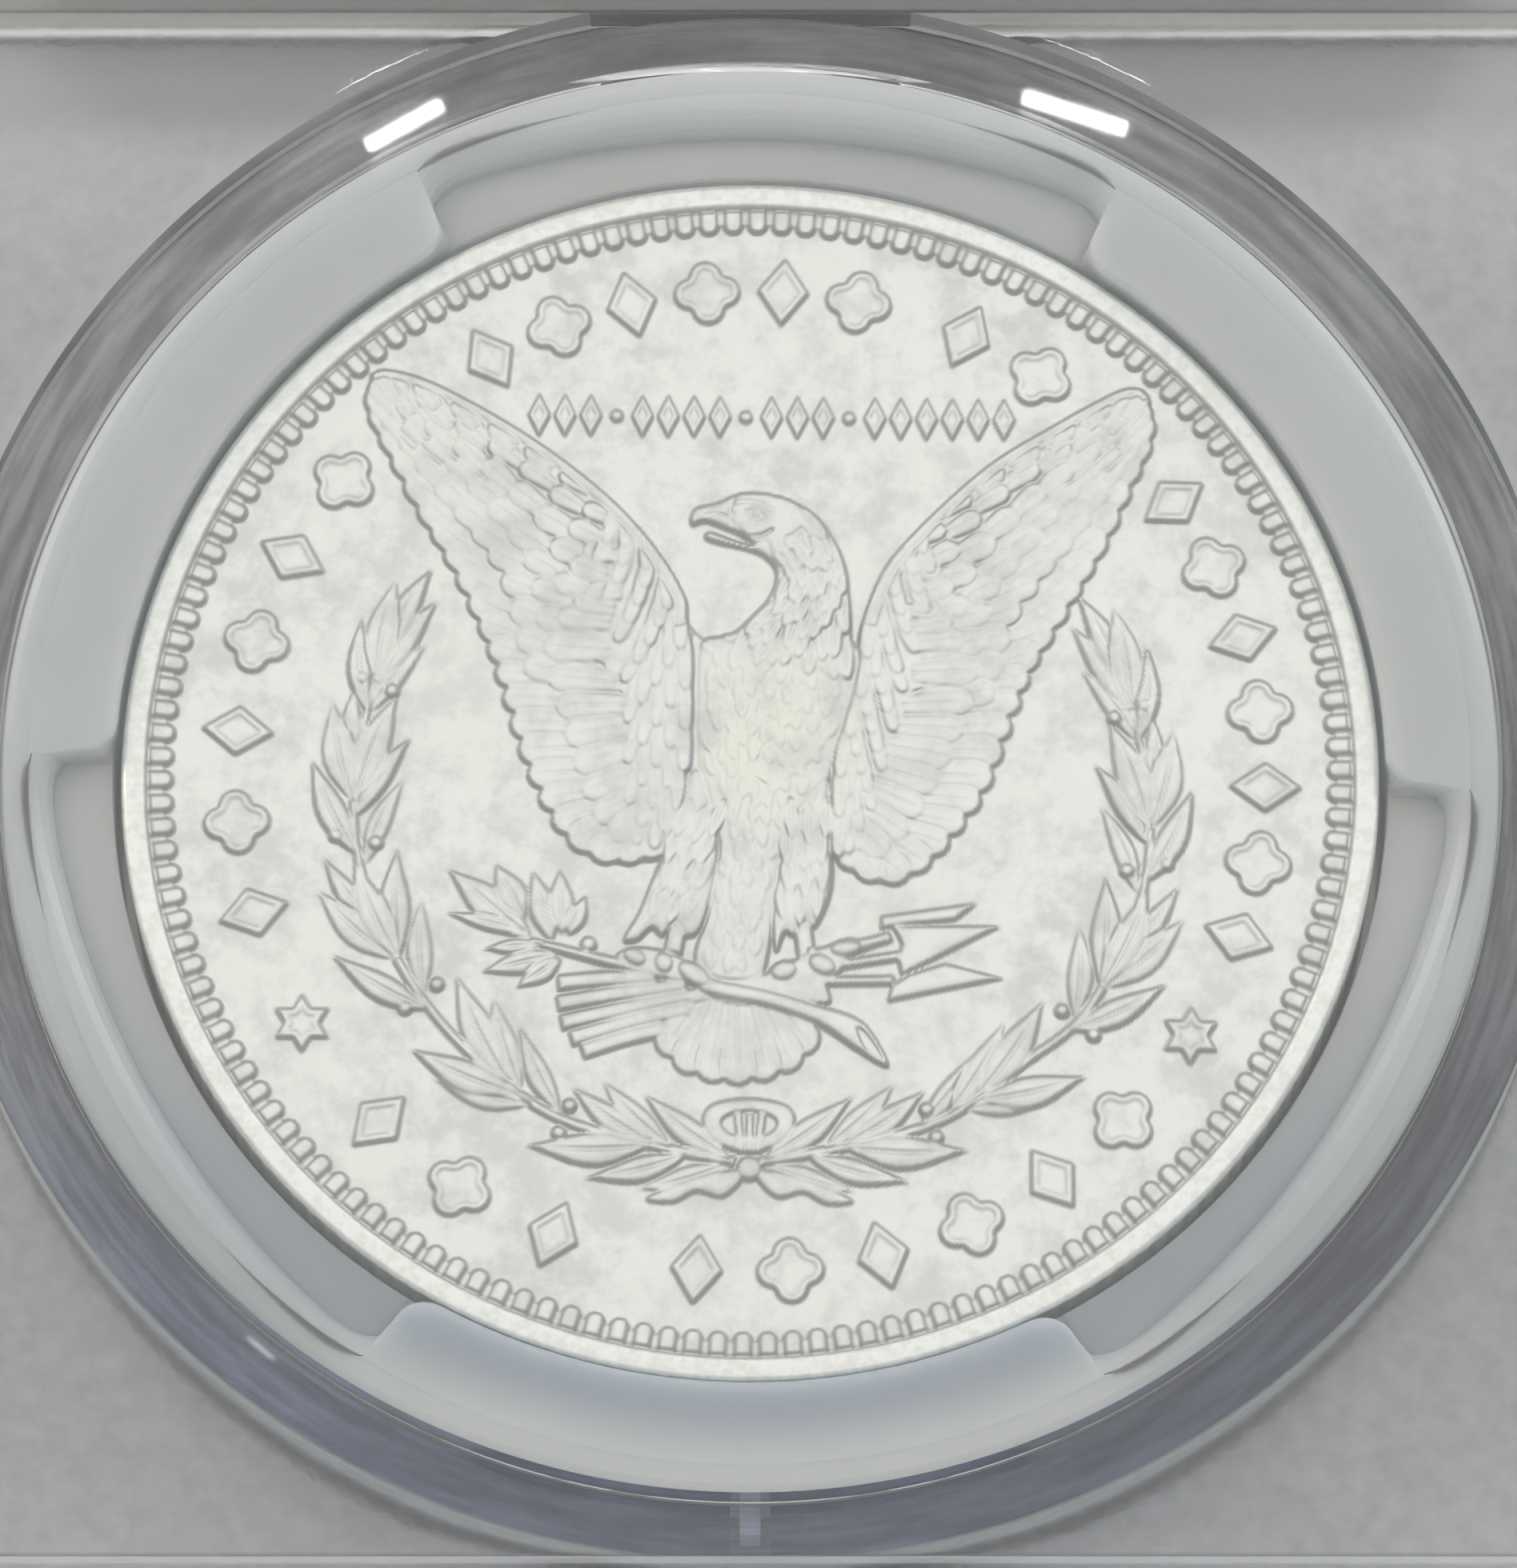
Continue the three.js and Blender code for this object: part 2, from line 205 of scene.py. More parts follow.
# ---- Node helpers ---------------------------------------------------------------------------
class Nodes:
    """The node tree of a material or world under construction. Inputs are sockets or plain values."""

    def __init__(self, owner, kind="Material"):
        owner.use_nodes = True
        self.owner, self.tree = owner, owner.node_tree
        self.tree.nodes.clear()
        self.output = self.node("Output" + kind)

    def node(self, kind, inputs=None, **settings):
        made = self.tree.nodes.new("ShaderNode" + kind)
        for key, value in settings.items():
            setattr(made, key, value)
        for key, value in (inputs or {}).items():
            if isinstance(value, bpy.types.NodeSocket):
                self.tree.links.new(value, made.inputs[key])
            else:
                made.inputs[key].default_value = value
        return made

    def math(self, operation, a, b=0.0, clamp=False):
        return self.node("Math", {0: a, 1: b}, operation=operation, use_clamp=clamp).outputs[0]

    def times(self, a, b):
        return self.math("MULTIPLY", a, b)

    def plus(self, a, b):
        return self.math("ADD", a, b)

    def minus(self, a, b, clamp=False):
        return self.math("SUBTRACT", a, b, clamp)

    def size(self, a):
        return self.math("ABSOLUTE", a)

    def length(self, a, b):
        """Length of the vector (a, b)."""
        return self.math("SQRT", self.plus(self.times(a, a), self.times(b, b)))

    def ramp(self, value, low, high, out_low=0.0, out_high=1.0, kind="SMOOTHSTEP"):
        inputs = {"Value": value, "From Min": low, "From Max": high, "To Min": out_low, "To Max": out_high}
        return self.node("MapRange", inputs, interpolation_type=kind).outputs["Result"]

    def fade(self, length, low_mm, high_mm):
        """0 where a length is low_mm, 1 where it is high_mm, and smooth between."""
        return self.ramp(length, low_mm * MM, high_mm * MM)

    def band(self, length, starts_mm, full_mm, still_mm, ends_mm):
        """1 where a length is between full_mm and still_mm, and 0 outside the other two."""
        return self.times(self.fade(length, starts_mm, full_mm), self.fade(length, ends_mm, still_mm))

    def mix(self, share, a, b):
        """A colour between a and b; each may be a socket or an (r, g, b)."""
        a, b = ((*value, 1) if isinstance(value, tuple) else value for value in (a, b))
        return self.node("Mix", {0: share, 6: a, 7: b}, data_type="RGBA").outputs[2]

    def noise(self, scale, detail, roughness, vector=None):
        inputs = {"Scale": scale, "Detail": detail, "Roughness": roughness}
        return self.node("TexNoise", {"Vector": vector or self.position(), **inputs}).outputs["Fac"]

    def position(self):
        """Place on the piece, in metres of the model's frame."""
        return self.node("TexCoord").outputs["Object"]

    def axes(self):
        return tuple(self.node("SeparateXYZ", {0: self.position()}).outputs)

    def from_axis(self):
        """Distance from the coin's axis, in metres."""
        x, y, _ = self.axes()
        return self.length(x, self.minus(y, COIN_Y * MM))

    def bump(self, height, distance_mm, strength):
        inputs = {"Strength": strength, "Distance": distance_mm * MM, "Height": height}
        return self.node("Bump", inputs).outputs["Normal"]

    def principled(self, colour, roughness, normal, **more):
        """The main surface shader; more holds its other inputs, with _ for the spaces in their names."""
        inputs = {"Base Color": colour, "Roughness": roughness, "Normal": normal}
        inputs.update((name.replace("_", " "), value) for name, value in more.items())
        return self.node("BsdfPrincipled", inputs).outputs[0]

    def surface(self, shader):
        self.tree.links.new(shader, self.output.inputs["Surface"])
        return self.owner


def new_material(name):
    return Nodes(bpy.data.materials.new(name))


# ---- Curves ---------------------------------------------------------------------------------
def curve(points, closed=False, steps=6):
    """Smooth curve through a few points (Catmull-Rom)."""
    p = np.array(points, float)
    count = len(p)
    out = []
    for i in range(count if closed else count - 1):
        near = range(i - 1, i + 3)
        a, b, c, d = p[[k % count if closed else min(max(k, 0), count - 1) for k in near]]
        t = np.linspace(0, 1, steps, endpoint=False)[:, None]
        square, cube = a - 2.5 * b + 2 * c - d / 2, 1.5 * (b - c) + (d - a) / 2
        out.append(b + t * (c - a) / 2 + t**2 * square + t**3 * cube)
    if not closed:
        out.append(p[-1:])
    return np.vstack(out)


def loop(points):
    return curve(points, closed=True, steps=4)


def place(line, share):
    """Point at a share, 0 to 1, of a line's length."""
    s = np.concatenate([[0], np.cumsum(np.hypot(*np.diff(line, axis=0).T))])
    return np.array([np.interp(share * s[-1], s, line[:, k]) for k in (0, 1)])


def polar(radius, angle_deg):
    a = math.radians(angle_deg)
    return np.array([radius * math.cos(a), radius * math.sin(a)])


def turned(points, angle_deg, centre=(0, 0)):
    a = math.radians(angle_deg)
    p = np.asarray(points, float)
    return np.column_stack([p[:, 0] * math.cos(a) - p[:, 1] * math.sin(a),
                            p[:, 0] * math.sin(a) + p[:, 1] * math.cos(a)]) + centre


def ease(t):
    t = np.clip(t, 0, 1)
    return t * t * (3 - 2 * t)


def dome(inside, reach):
    """0 at an outline, 1 from reach inside it on, and round between."""
    return np.sqrt(1 - (1 - np.clip(inside / reach, 0, 1)) ** 2)


# ---- Height field ---------------------------------------------------------------------------
class Relief:
    """Heights in mm over a square grid, with a few ways of modelling on it."""

    def __init__(self, reach, pitch):
        count = math.ceil(reach / pitch)
        self.axis = np.arange(-count, count + 1) * pitch
        self.x, self.y = np.meshgrid(self.axis, self.axis)
        self.h = np.zeros_like(self.x)

    def reach(self, outline, edge):
        """The window of the grid round an outline, and how far its points lie inside it."""
        p = np.asarray(outline, float)
        (i0, j0), (i1, j1) = (np.searchsorted(self.axis, v) for v in (p.min(0) - edge, p.max(0) + edge))
        window = np.s_[j0:j1 + 1, i0:i1 + 1]
        x, y = self.x[window], self.y[window]
        near = np.full(x.shape, np.inf)
        within = np.zeros(x.shape, bool)
        for (ax, ay), (bx, by) in zip(p, np.roll(p, -1, axis=0)):
            dx, dy = bx - ax, by - ay
            t = np.clip(((x - ax) * dx + (y - ay) * dy) / max(dx * dx + dy * dy, 1e-12), 0, 1)
            near = np.minimum(near, (x - ax - t * dx) ** 2 + (y - ay - t * dy) ** 2)
            if ay != by:
                within ^= ((y >= ay) != (y >= by)) & (x < ax + (y - ay) * dx / (by - ay))
        return window, np.where(within, 1, -1) * np.sqrt(near)

    def stamp(self, outline, height, edge=0.10):
        """Lays a shape over what is there; height(x, y, inside) is its surface."""
        window, inside = self.reach(outline, edge)
        new = height(self.x[window], self.y[window], inside)
        self.h[window] += (new - self.h[window]) * ease(inside / edge + 0.5)

    def within(self, outline, draw, edge=0.10):
        """Keeps what draw() models only inside an outline."""
        before = self.h.copy()
        draw()
        window, inside = self.reach(outline, edge)
        changed = self.h[window] - before[window]
        self.h[:] = before
        self.h[window] += changed * ease(inside / edge + 0.5)

    def centre(self):
        middle = len(self.axis) // 2
        return self.h[middle, middle]

    def frozen(self):
        """The present surface as a function of place, by bilinear interpolation."""
        h, start, pitch = self.h.copy(), self.axis[0], self.axis[1] - self.axis[0]

        def height(x, y):
            u, v = (x - start) / pitch, (y - start) / pitch
            i, j = u.astype(int), v.astype(int)
            s, t = u - i, v - j
            near, far = (h[row, i] * (1 - s) + h[row, i + 1] * s for row in (j, j + 1))
            return near * (1 - t) + far * t

        return height

    def mound(self, outline, base, rise, reach, edge=0.10):
        """A rounded mass inside an outline: base at its foot, and rise more from reach inside it on."""
        self.stamp(outline, lambda x, y, inside: base + rise * dome(inside, reach), edge)

    def tube(self, line, radius, base, rise, edge=0.08):
        """A round-topped stem along a line; radius is a number or one at each end."""
        p = np.asarray(line, float)
        r = np.linspace(*radius, len(p)) if np.ndim(radius) else np.full(len(p), radius)
        normal = np.gradient(p, axis=0)[:, ::-1] * (-1, 1)
        normal /= np.hypot(*normal.T)[:, None]
        outline = np.vstack([p + normal * r[:, None], (p - normal * r[:, None])[::-1]])
        self.mound(outline, base, rise, r.max(), edge)

    def ball(self, centre, radius, base, rise):
        ring = [polar(radius, a) + centre for a in range(0, 360, 24)]
        self.mound(ring, base, rise, radius, 0.08)

    def blade(self, root, tip, wide, base, rise, lift=0.0, shaft=0.02, sharp=0.0, bend=0.0, edge=0.09,
              narrow=0.6):
        """A feather or leaf from root to tip. It starts base high, which may be a function of place, is
        domed by rise, climbs by lift towards its tip and has a vein shaft deep. sharp is 0 for a round end
        and 1 for a pointed one, and narrow is the width at the root of a round one, as a share."""
        root, tip = np.asarray(root, float), np.asarray(tip, float)
        length = np.hypot(*(tip - root))
        u = (tip - root) / length
        v = np.array([-u[1], u[0]])
        t = 1 - (1 - np.linspace(0, 1, 12)) ** 1.7
        cap = min(0.55 * wide / length, 0.5)
        over = np.clip((t - 1 + cap) / cap, 0, 1)
        round_half = (narrow + (1 - narrow) * np.minimum(t / (1 - cap), 1)) * np.sqrt(1 - over**2)
        point_half = np.sin(math.pi * t**0.85) ** 1.25
        half = wide / 2 * (round_half * (1 - sharp) + point_half * sharp)
        middle = root + np.outer(t * length, u) + np.outer(bend * np.sin(math.pi * t), v)
        outline = np.vstack([middle + np.outer(half, v), (middle - np.outer(half, v))[::-1]])

        def height(x, y, inside):
            along = np.clip(((x - root[0]) * u[0] + (y - root[1]) * u[1]) / length, 0, 1)
            aside = (x - root[0]) * v[0] + (y - root[1]) * v[1] - bend * np.sin(math.pi * along)
            vein = shaft * np.exp(-((aside / 0.06) ** 2)) * (1 - along**4)
            ground = base(x, y) if callable(base) else base
            return ground + lift * along + rise * dome(inside, wide / 2) - vein

        self.stamp(outline, height, edge)


# ---- Eagle ----------------------------------------------------------------------------------
# Outlines in mm from the coin's centre, X to the right and Y to the top.
LEFT_LEADING = [
    (-1.5, 4.35), (-1.95, 4.8), (-2.08, 5.7), (-3.05, 7.3), (-4.6, 9.0), (-7.0, 10.85), (-9.7, 12.4),
    (-11.2, 12.87), (-11.76, 12.75)
]
LEFT_TRAILING = [
    (-3.0, -2.75), (-4.2, -2.85), (-5.2, -2.5), (-6.0, -1.6), (-6.7, -0.2), (-7.2, 1.2), (-7.7, 2.85),
    (-8.25, 4.7), (-8.9, 6.3), (-9.75, 8.0), (-10.6, 9.5), (-11.35, 11.0), (-11.8, 12.3)
]
LEFT_FOLD = [
    (-3.4, -2.6), (-3.78, -1.6), (-3.9, 0.1), (-3.97, 1.9), (-4.25, 3.8), (-4.7, 5.6), (-4.95, 6.8),
    (-4.85, 8.6)
]
RIGHT_LEADING = [
    (3.2, 3.9), (3.35, 4.9), (3.95, 6.5), (5.0, 7.9), (7.1, 9.95), (9.2, 11.35), (11.0, 12.4),
    (11.7, 12.55), (12.05, 12.3)
]
RIGHT_TRAILING = [
    (3.1, -3.0), (4.3, -3.4), (5.4, -2.9), (6.4, -1.7), (7.3, -0.2), (8.05, 2.0), (8.75, 4.1),
    (9.6, 5.7), (10.4, 7.3), (11.15, 8.9), (11.75, 10.4), (12.1, 11.6)
]
RIGHT_FOLD = [(3.3, -2.7), (3.7, -1.5), (4.25, 0.5), (4.75, 2.5), (5.2, 4.1), (5.6, 6.0), (5.5, 7.2),
              (5.6, 8.4)]
# Rows of wing feathers: share of the way in from the trailing edge, count, length, width, base height.
FEATHER_ROWS = [
    (0.0, 22, 3.6, 1.0, 0.06), (0.24, 20, 2.6, 0.96, 0.09), (0.44, 19, 2.1, 0.9, 0.105),
    (0.62, 17, 1.7, 0.85, 0.12), (0.79, 16, 1.3, 0.75, 0.13), (0.92, 15, 1.1, 0.65, 0.135)
]
# Shares of the trailing edge, and the direction in degrees in which the left wing's feathers point there.
HEADING = ([0, 0.06, 0.2, 0.42, 0.55, 0.7, 0.85, 1], [262, 228, 196, 176, 158, 143, 134, 124])
BODY_SIDE = {  # x of the body's side at these heights, for either side
    -1: ([-3, 0, 3, 4.4, 6, 9], [-2.3, -1.75, -1.7, -1.9, -2.5, -4.6]),
    1: ([-3, 0, 3, 4.4, 6, 9], [2.6, 2.5, 3.2, 3.3, 3.8, 5.7])
}
LOWER = 0.4  # share of the trailing edge, from its lower end, that only the first two rows cover


def wing(relief, leading, trailing, fold, side):
    """One raised wing: flight feathers along the trailing edge, coverts in rows over their roots,
    feathers that hang between the fold and the body, and a smooth leading edge."""
    leading, trailing, fold = curve(leading), curve(trailing), curve(fold)
    top = np.hypot(*(leading - fold[-1]).T).argmin()
    inner = np.vstack([fold, leading[top + 2:]])

    def feathers():
        hull = np.vstack([trailing * (0.97, 1), leading[::-1], [(side * 1.6 + 0.6, -2.0)]])
        relief.mound(hull, 0.05, 0.07, 2.0)
        relief.tube(leading[3:], 1.0, 0.11, 0.02)
        for k, (share, count, length, wide, base) in enumerate(FEATHER_ROWS):
            for i in range(count):
                t = (count - 1 - i + 0.5 * (k % 2)) / (count - 0.4)
                if (k and t < 0.05) or (k > 1 and t < LOWER):
                    continue
                tip = place(trailing, t) * (1 - share) + place(inner, t) * share
                heading = np.interp(t, *HEADING) + 4 * math.sin(7 * i + 3 * k)
                way = polar(1, heading if side < 0 else 180 - heading)
                lift = 0.045 if k and t < LOWER else 0.06
                if k == 1 and t < LOWER:
                    length, tip = 2.2, tip + (tip - place(trailing, t)) * 0.7
                width = wide * (1 + 0.1 * math.sin(5 * i + k))
                relief.blade(tip - way * length, tip, width, base, 0.04, lift, edge=0.08)
        for k in range(5):  # hanging feathers, from the fold towards the body
            for i in range(8):
                t = (i + 0.5 * (k % 2)) / 8
                start = place(fold, 0.03 + 0.92 * t)
                end = np.array([np.interp(start[1], *BODY_SIDE[side]), start[1] - 0.3])
                tip = start + (end - start) * (k + 0.4) / 5
                way = polar(1, 270 + side * (26 - 7 * k) * (1 if t > 0.45 else 0.5))
                base = 0.10 + 0.012 * k
                relief.blade(tip - way * 2.1, tip, 0.56, base, 0.035, 0.045, sharp=0.3, edge=0.08)
        relief.tube(leading[6:], (0.42, 0.22), 0.125, 0.055)

    room = [(side * 13.5, leading[-1][1]), (side * 14, -4.2), (side * 1.6 + 0.6, -4.2),
            (side * 1.1 + 0.5, 0.0), (side * 1.0 + 0.5, 3.0)]
    relief.within(np.vstack([leading, room]), feathers)


HEAD = [
    (-1.86, 7.95), (-1.95, 8.2), (-1.75, 8.55), (-1.1, 8.72), (-0.45, 9.02), (0.3, 9.02), (1.2, 8.76),
    (1.95, 8.3), (2.5, 7.5), (2.85, 6.55), (2.97, 5.5), (3.02, 4.6), (2.9, 4.1), (2.1, 3.9), (0.9, 3.9),
    (-0.2, 4.1), (-0.9, 4.4), (-0.55, 4.55), (0.0, 5.1), (0.5, 5.7), (0.7, 6.45), (0.3, 7.0),
    (-0.4, 7.25), (-1.25, 7.44), (-1.5, 7.62), (-1.3, 7.76), (-0.6, 7.5), (-0.02, 7.36), (-0.3, 7.62),
    (-0.95, 7.9), (-1.45, 8.08), (-1.7, 8.02)
]
NECK_BOUND = HEAD[:12] + [(3.3, 3.9), (3.3, 2.4), (-0.6, 2.4), (-1.3, 3.9), (-1.05, 4.4)] + HEAD[17:]
NECK_FRONT = [(0.55, 8.0), (0.65, 7.2), (0.95, 6.5), (0.8, 5.7), (0.35, 5.15), (-0.25, 4.6),
              (-0.85, 3.6)]
NECK_BACK = [(1.1, 8.75), (2.0, 8.0), (2.55, 7.1), (2.85, 6.2), (2.95, 5.3), (3.05, 4.2), (3.15, 2.9)]
SKULL = [
    (-0.35, 8.98), (0.3, 9.0), (1.2, 8.74), (1.6, 8.2), (1.2, 7.75), (0.5, 7.5), (0.0, 7.45),
    (-0.3, 7.75), (-0.6, 8.3), (-0.6, 8.75)
]


def head(relief):
    outline = loop(HEAD)
    front, back = curve(NECK_FRONT), curve(NECK_BACK)

    def plumage():
        relief.mound(outline, 0.09, 0.11, 0.9)
        for k in range(11):  # locks of neck feathers, from the shoulders up to the crown
            for i in range(5):
                across = (i + 0.5 * (k % 2) + 0.2) / 5
                t = 1.02 - 0.085 * k - 0.05 * math.sin(4 * i + k)
                tip = place(front, t) * (1 - across) + place(back, t) * across
                ahead = place(front, t - 0.12) * (1 - across) + place(back, t - 0.12) * across
                way = (tip - ahead) / np.hypot(*(tip - ahead))
                base = 0.095 + 0.045 * math.sin(math.pi * min(across, 1))
                relief.blade(tip - way * 1.5, tip, 0.58, base, 0.05, 0.085, shaft=0.045, sharp=0.45,
                             bend=0.1 * (0.5 - across), edge=0.08)

    relief.within(loop(NECK_BOUND), plumage)
    relief.mound(loop(SKULL), 0.17, 0.035, 0.6, 0.14)
    brow = curve([(-0.62, 8.66), (-0.2, 8.72), (0.25, 8.62), (0.62, 8.42)])
    relief.tube(brow, (0.05, 0.09), 0.2, 0.03)
    relief.mound(loop([(-0.3, 8.4), (0.02, 8.5), (0.42, 8.26), (0.1, 8.12)]), 0.175, 0, 1, 0.06)
    relief.ball((0.06, 8.31), 0.115, 0.185, 0.025)
    nostril = [(-1.5, 8.3), (-1.1, 8.33), (-0.75, 8.2), (-0.62, 7.95)]
    cere = [(-0.6, 8.75), (-0.72, 8.5), (-0.62, 8.25)]
    gape = [(-0.3, 7.6), (0.2, 7.62), (0.6, 7.85)]
    for line in (nostril, cere, gape):
        relief.tube(curve(line), 0.04, 0.13, 0.0, 0.05)


BODY = [
    (-1.62, 3.9), (-1.66, 2.0), (-1.6, 0.2), (-1.35, -1.1), (-0.9, -2.2), (-1.12, -3.5), (-1.26, -4.6),
    (-1.6, -5.7), (-1.3, -6.9), (0.1, -7.3), (0.6, -5.8), (0.8, -4.0), (1.05, -2.3), (1.6, -1.3),
    (2.35, -0.3), (2.6, 0.9), (3.05, 2.5), (3.26, 3.9), (2.6, 4.6), (0.8, 4.8), (-0.3, 4.6),
    (-0.9, 4.42), (-1.4, 4.33)
]
LEFT_THIGH = [
    (-1.66, 0.2), (-2.1, -1.2), (-2.4, -2.1), (-2.9, -3.3), (-3.3, -4.4), (-3.75, -5.25), (-3.35, -5.3),
    (-2.9, -4.9), (-2.6, -5.15), (-2.2, -4.75), (-1.9, -5.15), (-1.5, -5.0), (-1.2, -4.2),
    (-0.95, -2.6), (-1.1, -1.2)
]
RIGHT_THIGH = [
    (2.3, -0.2), (2.35, -1.3), (2.5, -2.6), (2.5, -3.6), (2.2, -4.5), (1.95, -4.85), (1.65, -4.7),
    (1.35, -5.1), (1.1, -5.0), (0.85, -5.6), (0.72, -4.6), (0.9, -3.0), (1.1, -1.9), (1.6, -1.0)
]
# Heights, and x of the breast's sides there.
BREAST_LEFT = ([-6.5, -4.5, -2.2, 0, 2, 4], [-1.3, -1.0, -0.6, -1.3, -1.4, -1.4])
BREAST_RIGHT = ([-6.5, -4.5, -2.2, 0, 2, 4], [0.2, 0.5, 0.8, 2.1, 2.7, 3.0])


def body(relief):
    relief.mound(loop(BODY), 0.08, 0.12, 1.7, 0.12)
    ground = relief.frozen()
    for k in range(21):  # short soft feathers, from the belly up to the neck
        y = -6.2 + 0.5 * k
        left, right = (np.interp(y, *side) for side in (BREAST_LEFT, BREAST_RIGHT))
        count = round((right - left) / 0.5)
        for i in range(count):
            x = left + (right - left) * (i + 0.25 + 0.5 * (k % 2)) / count
            way = polar(1, 270 + 22 * math.sin(3.7 * i + 2.3 * k))
            tip = np.array([x, y + 0.12 * math.sin(5.1 * i + 1.7 * k)])
            relief.blade(tip - way * 0.85, tip, 0.44, ground, 0.008, 0.02, shaft=0.01, sharp=0.6, edge=0.1)
    for top, foot in (((-2.0, -4.2), (-2.27, -5.7)), ((1.6, -4.5), (1.78, -5.8))):
        relief.tube(np.array([top, foot]), 0.27, 0.1, 0.07)
    for outline, hip in ((LEFT_THIGH, -1), (RIGHT_THIGH, 1)):
        relief.mound(loop(outline), 0.10, 0.10, 0.8)
        for k in range(4):
            for i in range(3):
                y = -4.6 + 0.85 * k
                mid = np.interp(y, [-4.8, -1.2], [-2.45, -1.6] if hip < 0 else [1.55, 1.75])
                tip = (mid + 0.52 * (i - 1) + 0.1 * (k % 2), y - 0.2 * (i == 1))
                way = polar(1, 252 if hip < 0 else 272)
                relief.blade(np.array(tip) - way * 1.3, tip, 0.5, 0.15, 0.025, 0.045, shaft=0.03, sharp=0.7)


def tail(relief):
    for i in (0, 6, 1, 5, 2, 4, 3):
        angle = 231 + 13.6 * i
        tip = np.array([-0.35, -6.2]) + polar(3.6 if 0 < i < 6 else 3.45, angle)
        relief.blade((-0.35 + 0.12 * (i - 3), -6.0), tip, 1.12, 0.05, 0.045, 0.03, shaft=0.03, narrow=0.3)


SHAFT_BUNDLE = [
    (-1.5, -6.3), (-0.6, -6.5), (0.1, -6.45), (0.8, -6.22), (1.7, -5.95), (2.4, -5.95), (2.38, -6.6),
    (2.36, -7.25), (0.5, -6.9), (-1.2, -6.7)
]
LEFT_PAD = [(-3.95, -5.8), (-3.4, -5.52), (-2.5, -5.62), (-1.85, -5.95), (-1.35, -6.4), (-2.1, -6.55),
            (-3.1, -6.3)]
RIGHT_PAD = [
    (0.62, -6.3), (0.95, -5.95), (1.8, -5.75), (2.5, -5.35), (3.1, -5.15), (3.5, -5.4), (3.0, -5.8),
    (2.65, -6.35), (1.8, -6.5), (1.0, -6.6)
]
STALK = [
    (-1.5, -6.3), (-0.9, -6.55), (0.5, -6.82), (2.2, -7.3), (3.2, -7.62), (3.75, -8.1), (4.25, -9.15),
    (3.3, -8.65), (2.1, -7.85), (0.5, -7.3), (-0.6, -7.1), (-1.4, -6.85)
]
FLETCHINGS = [
    ((-5.72, -6.65), (-2.75, -6.45)), ((-5.72, -7.3), (-1.83, -6.69)),
    ((-5.6, -7.9), (-1.14, -6.93)), ((-5.3, -8.4), (-1.72, -7.4)),
    ((-4.95, -8.8), (-2.5, -8.05))
]
SHAFTS = [((1.83, -5.67), (4.18, -5.13)), ((1.83, -6.15), (4.58, -5.67)), ((1.83, -6.51), (4.41, -6.45))]
ARROW_HEADS = [
    [(6.87, -3.99), (4.01, -4.44), (4.0, -4.85), (4.46, -4.74), (6.24, -4.53)],
    [(7.58, -4.71), (4.35, -4.74), (4.64, -5.31), (4.52, -5.79), (4.64, -6.29)],
    [(7.67, -6.35), (5.95, -5.91), (4.86, -6.27), (4.35, -6.61), (4.23, -7.11)]
]
# Tip, root and width of each leaf.
BRANCH_LEAVES = [
    ((-9.1, -3.09), (-6.52, -5.31), 1.15), ((-7.67, -2.91), (-6.73, -4.65), 0.95),
    ((-9.1, -4.47), (-6.64, -5.07), 0.5), ((-6.54, -3.09), (-5.9, -5.37), 0.85),
    ((-5.72, -3.03), (-5.6, -5.13), 0.8), ((-4.9, -3.87), (-5.43, -5.17), 0.6),
    ((-7.95, -5.6), (-6.2, -5.45), 0.5), ((-8.01, -6.33), (-5.7, -5.73), 0.75),
    ((-6.95, -6.81), (-5.61, -5.85), 0.7)
]
# Centre, length, width and turn of each toe.
TOES = [
    (-3.41, -5.82, 0.72, 0.5, -30), (-2.53, -6.0, 0.66, 0.56, -70), (-1.6, -6.36, 1.15, 0.62, -35),
    (1.09, -6.2, 0.8, 0.6, 15), (2.24, -6.0, 0.85, 0.6, -25), (2.95, -5.48, 0.95, 0.5, 5)
]


def branch_and_arrows(relief):
    relief.tube(curve([(3.1, -5.5), (3.9, -5.2), (4.3, -5.05)]), 0.16, 0.06, 0.06)
    for left, right in FLETCHINGS:
        relief.tube(curve([left, (np.array(left) + right) / 2 + (0, 0.05), right]), 0.24, 0.07, 0.06)
    for shaft in SHAFTS:
        relief.tube(np.array(shaft), 0.14, 0.07, 0.06)
    for head_outline in ARROW_HEADS:
        relief.mound(head_outline, 0.09, 0.04, 0.3, 0.09)
    twig = curve([(-6.6, -5.35), (-5.4, -5.65), (-4.2, -5.95), (-3.2, -6.15), (-2.0, -6.4)])
    relief.tube(twig, (0.11, 0.2), 0.11, 0.05)
    for pad in (SHAFT_BUNDLE, LEFT_PAD, RIGHT_PAD):
        relief.mound(loop(pad), 0.125, 0.03, 0.3, 0.09)
    relief.mound(loop(STALK), 0.15, 0.07, 0.25)
    relief.mound(loop([(3.3, -8.0), (3.6, -8.15), (4.15, -9.0), (3.6, -8.7)]), 0.15, 0, 1, 0.08)
    for tip, root, wide in BRANCH_LEAVES:
        relief.blade(root, tip, wide, 0.06, 0.08, shaft=0.045, sharp=1)
    relief.ball((-4.81, -5.43), 0.24, 0.1, 0.07)


def claws(relief):
    for x, y, long, wide, turn in TOES:
        oval = [(long / 2 * math.cos(a), wide / 2 * math.sin(a)) for a in np.arange(0, 6.2, 0.4)]
        relief.mound(turned(oval, turn, (x, y)), 0.15, 0.08, 0.3, 0.08)


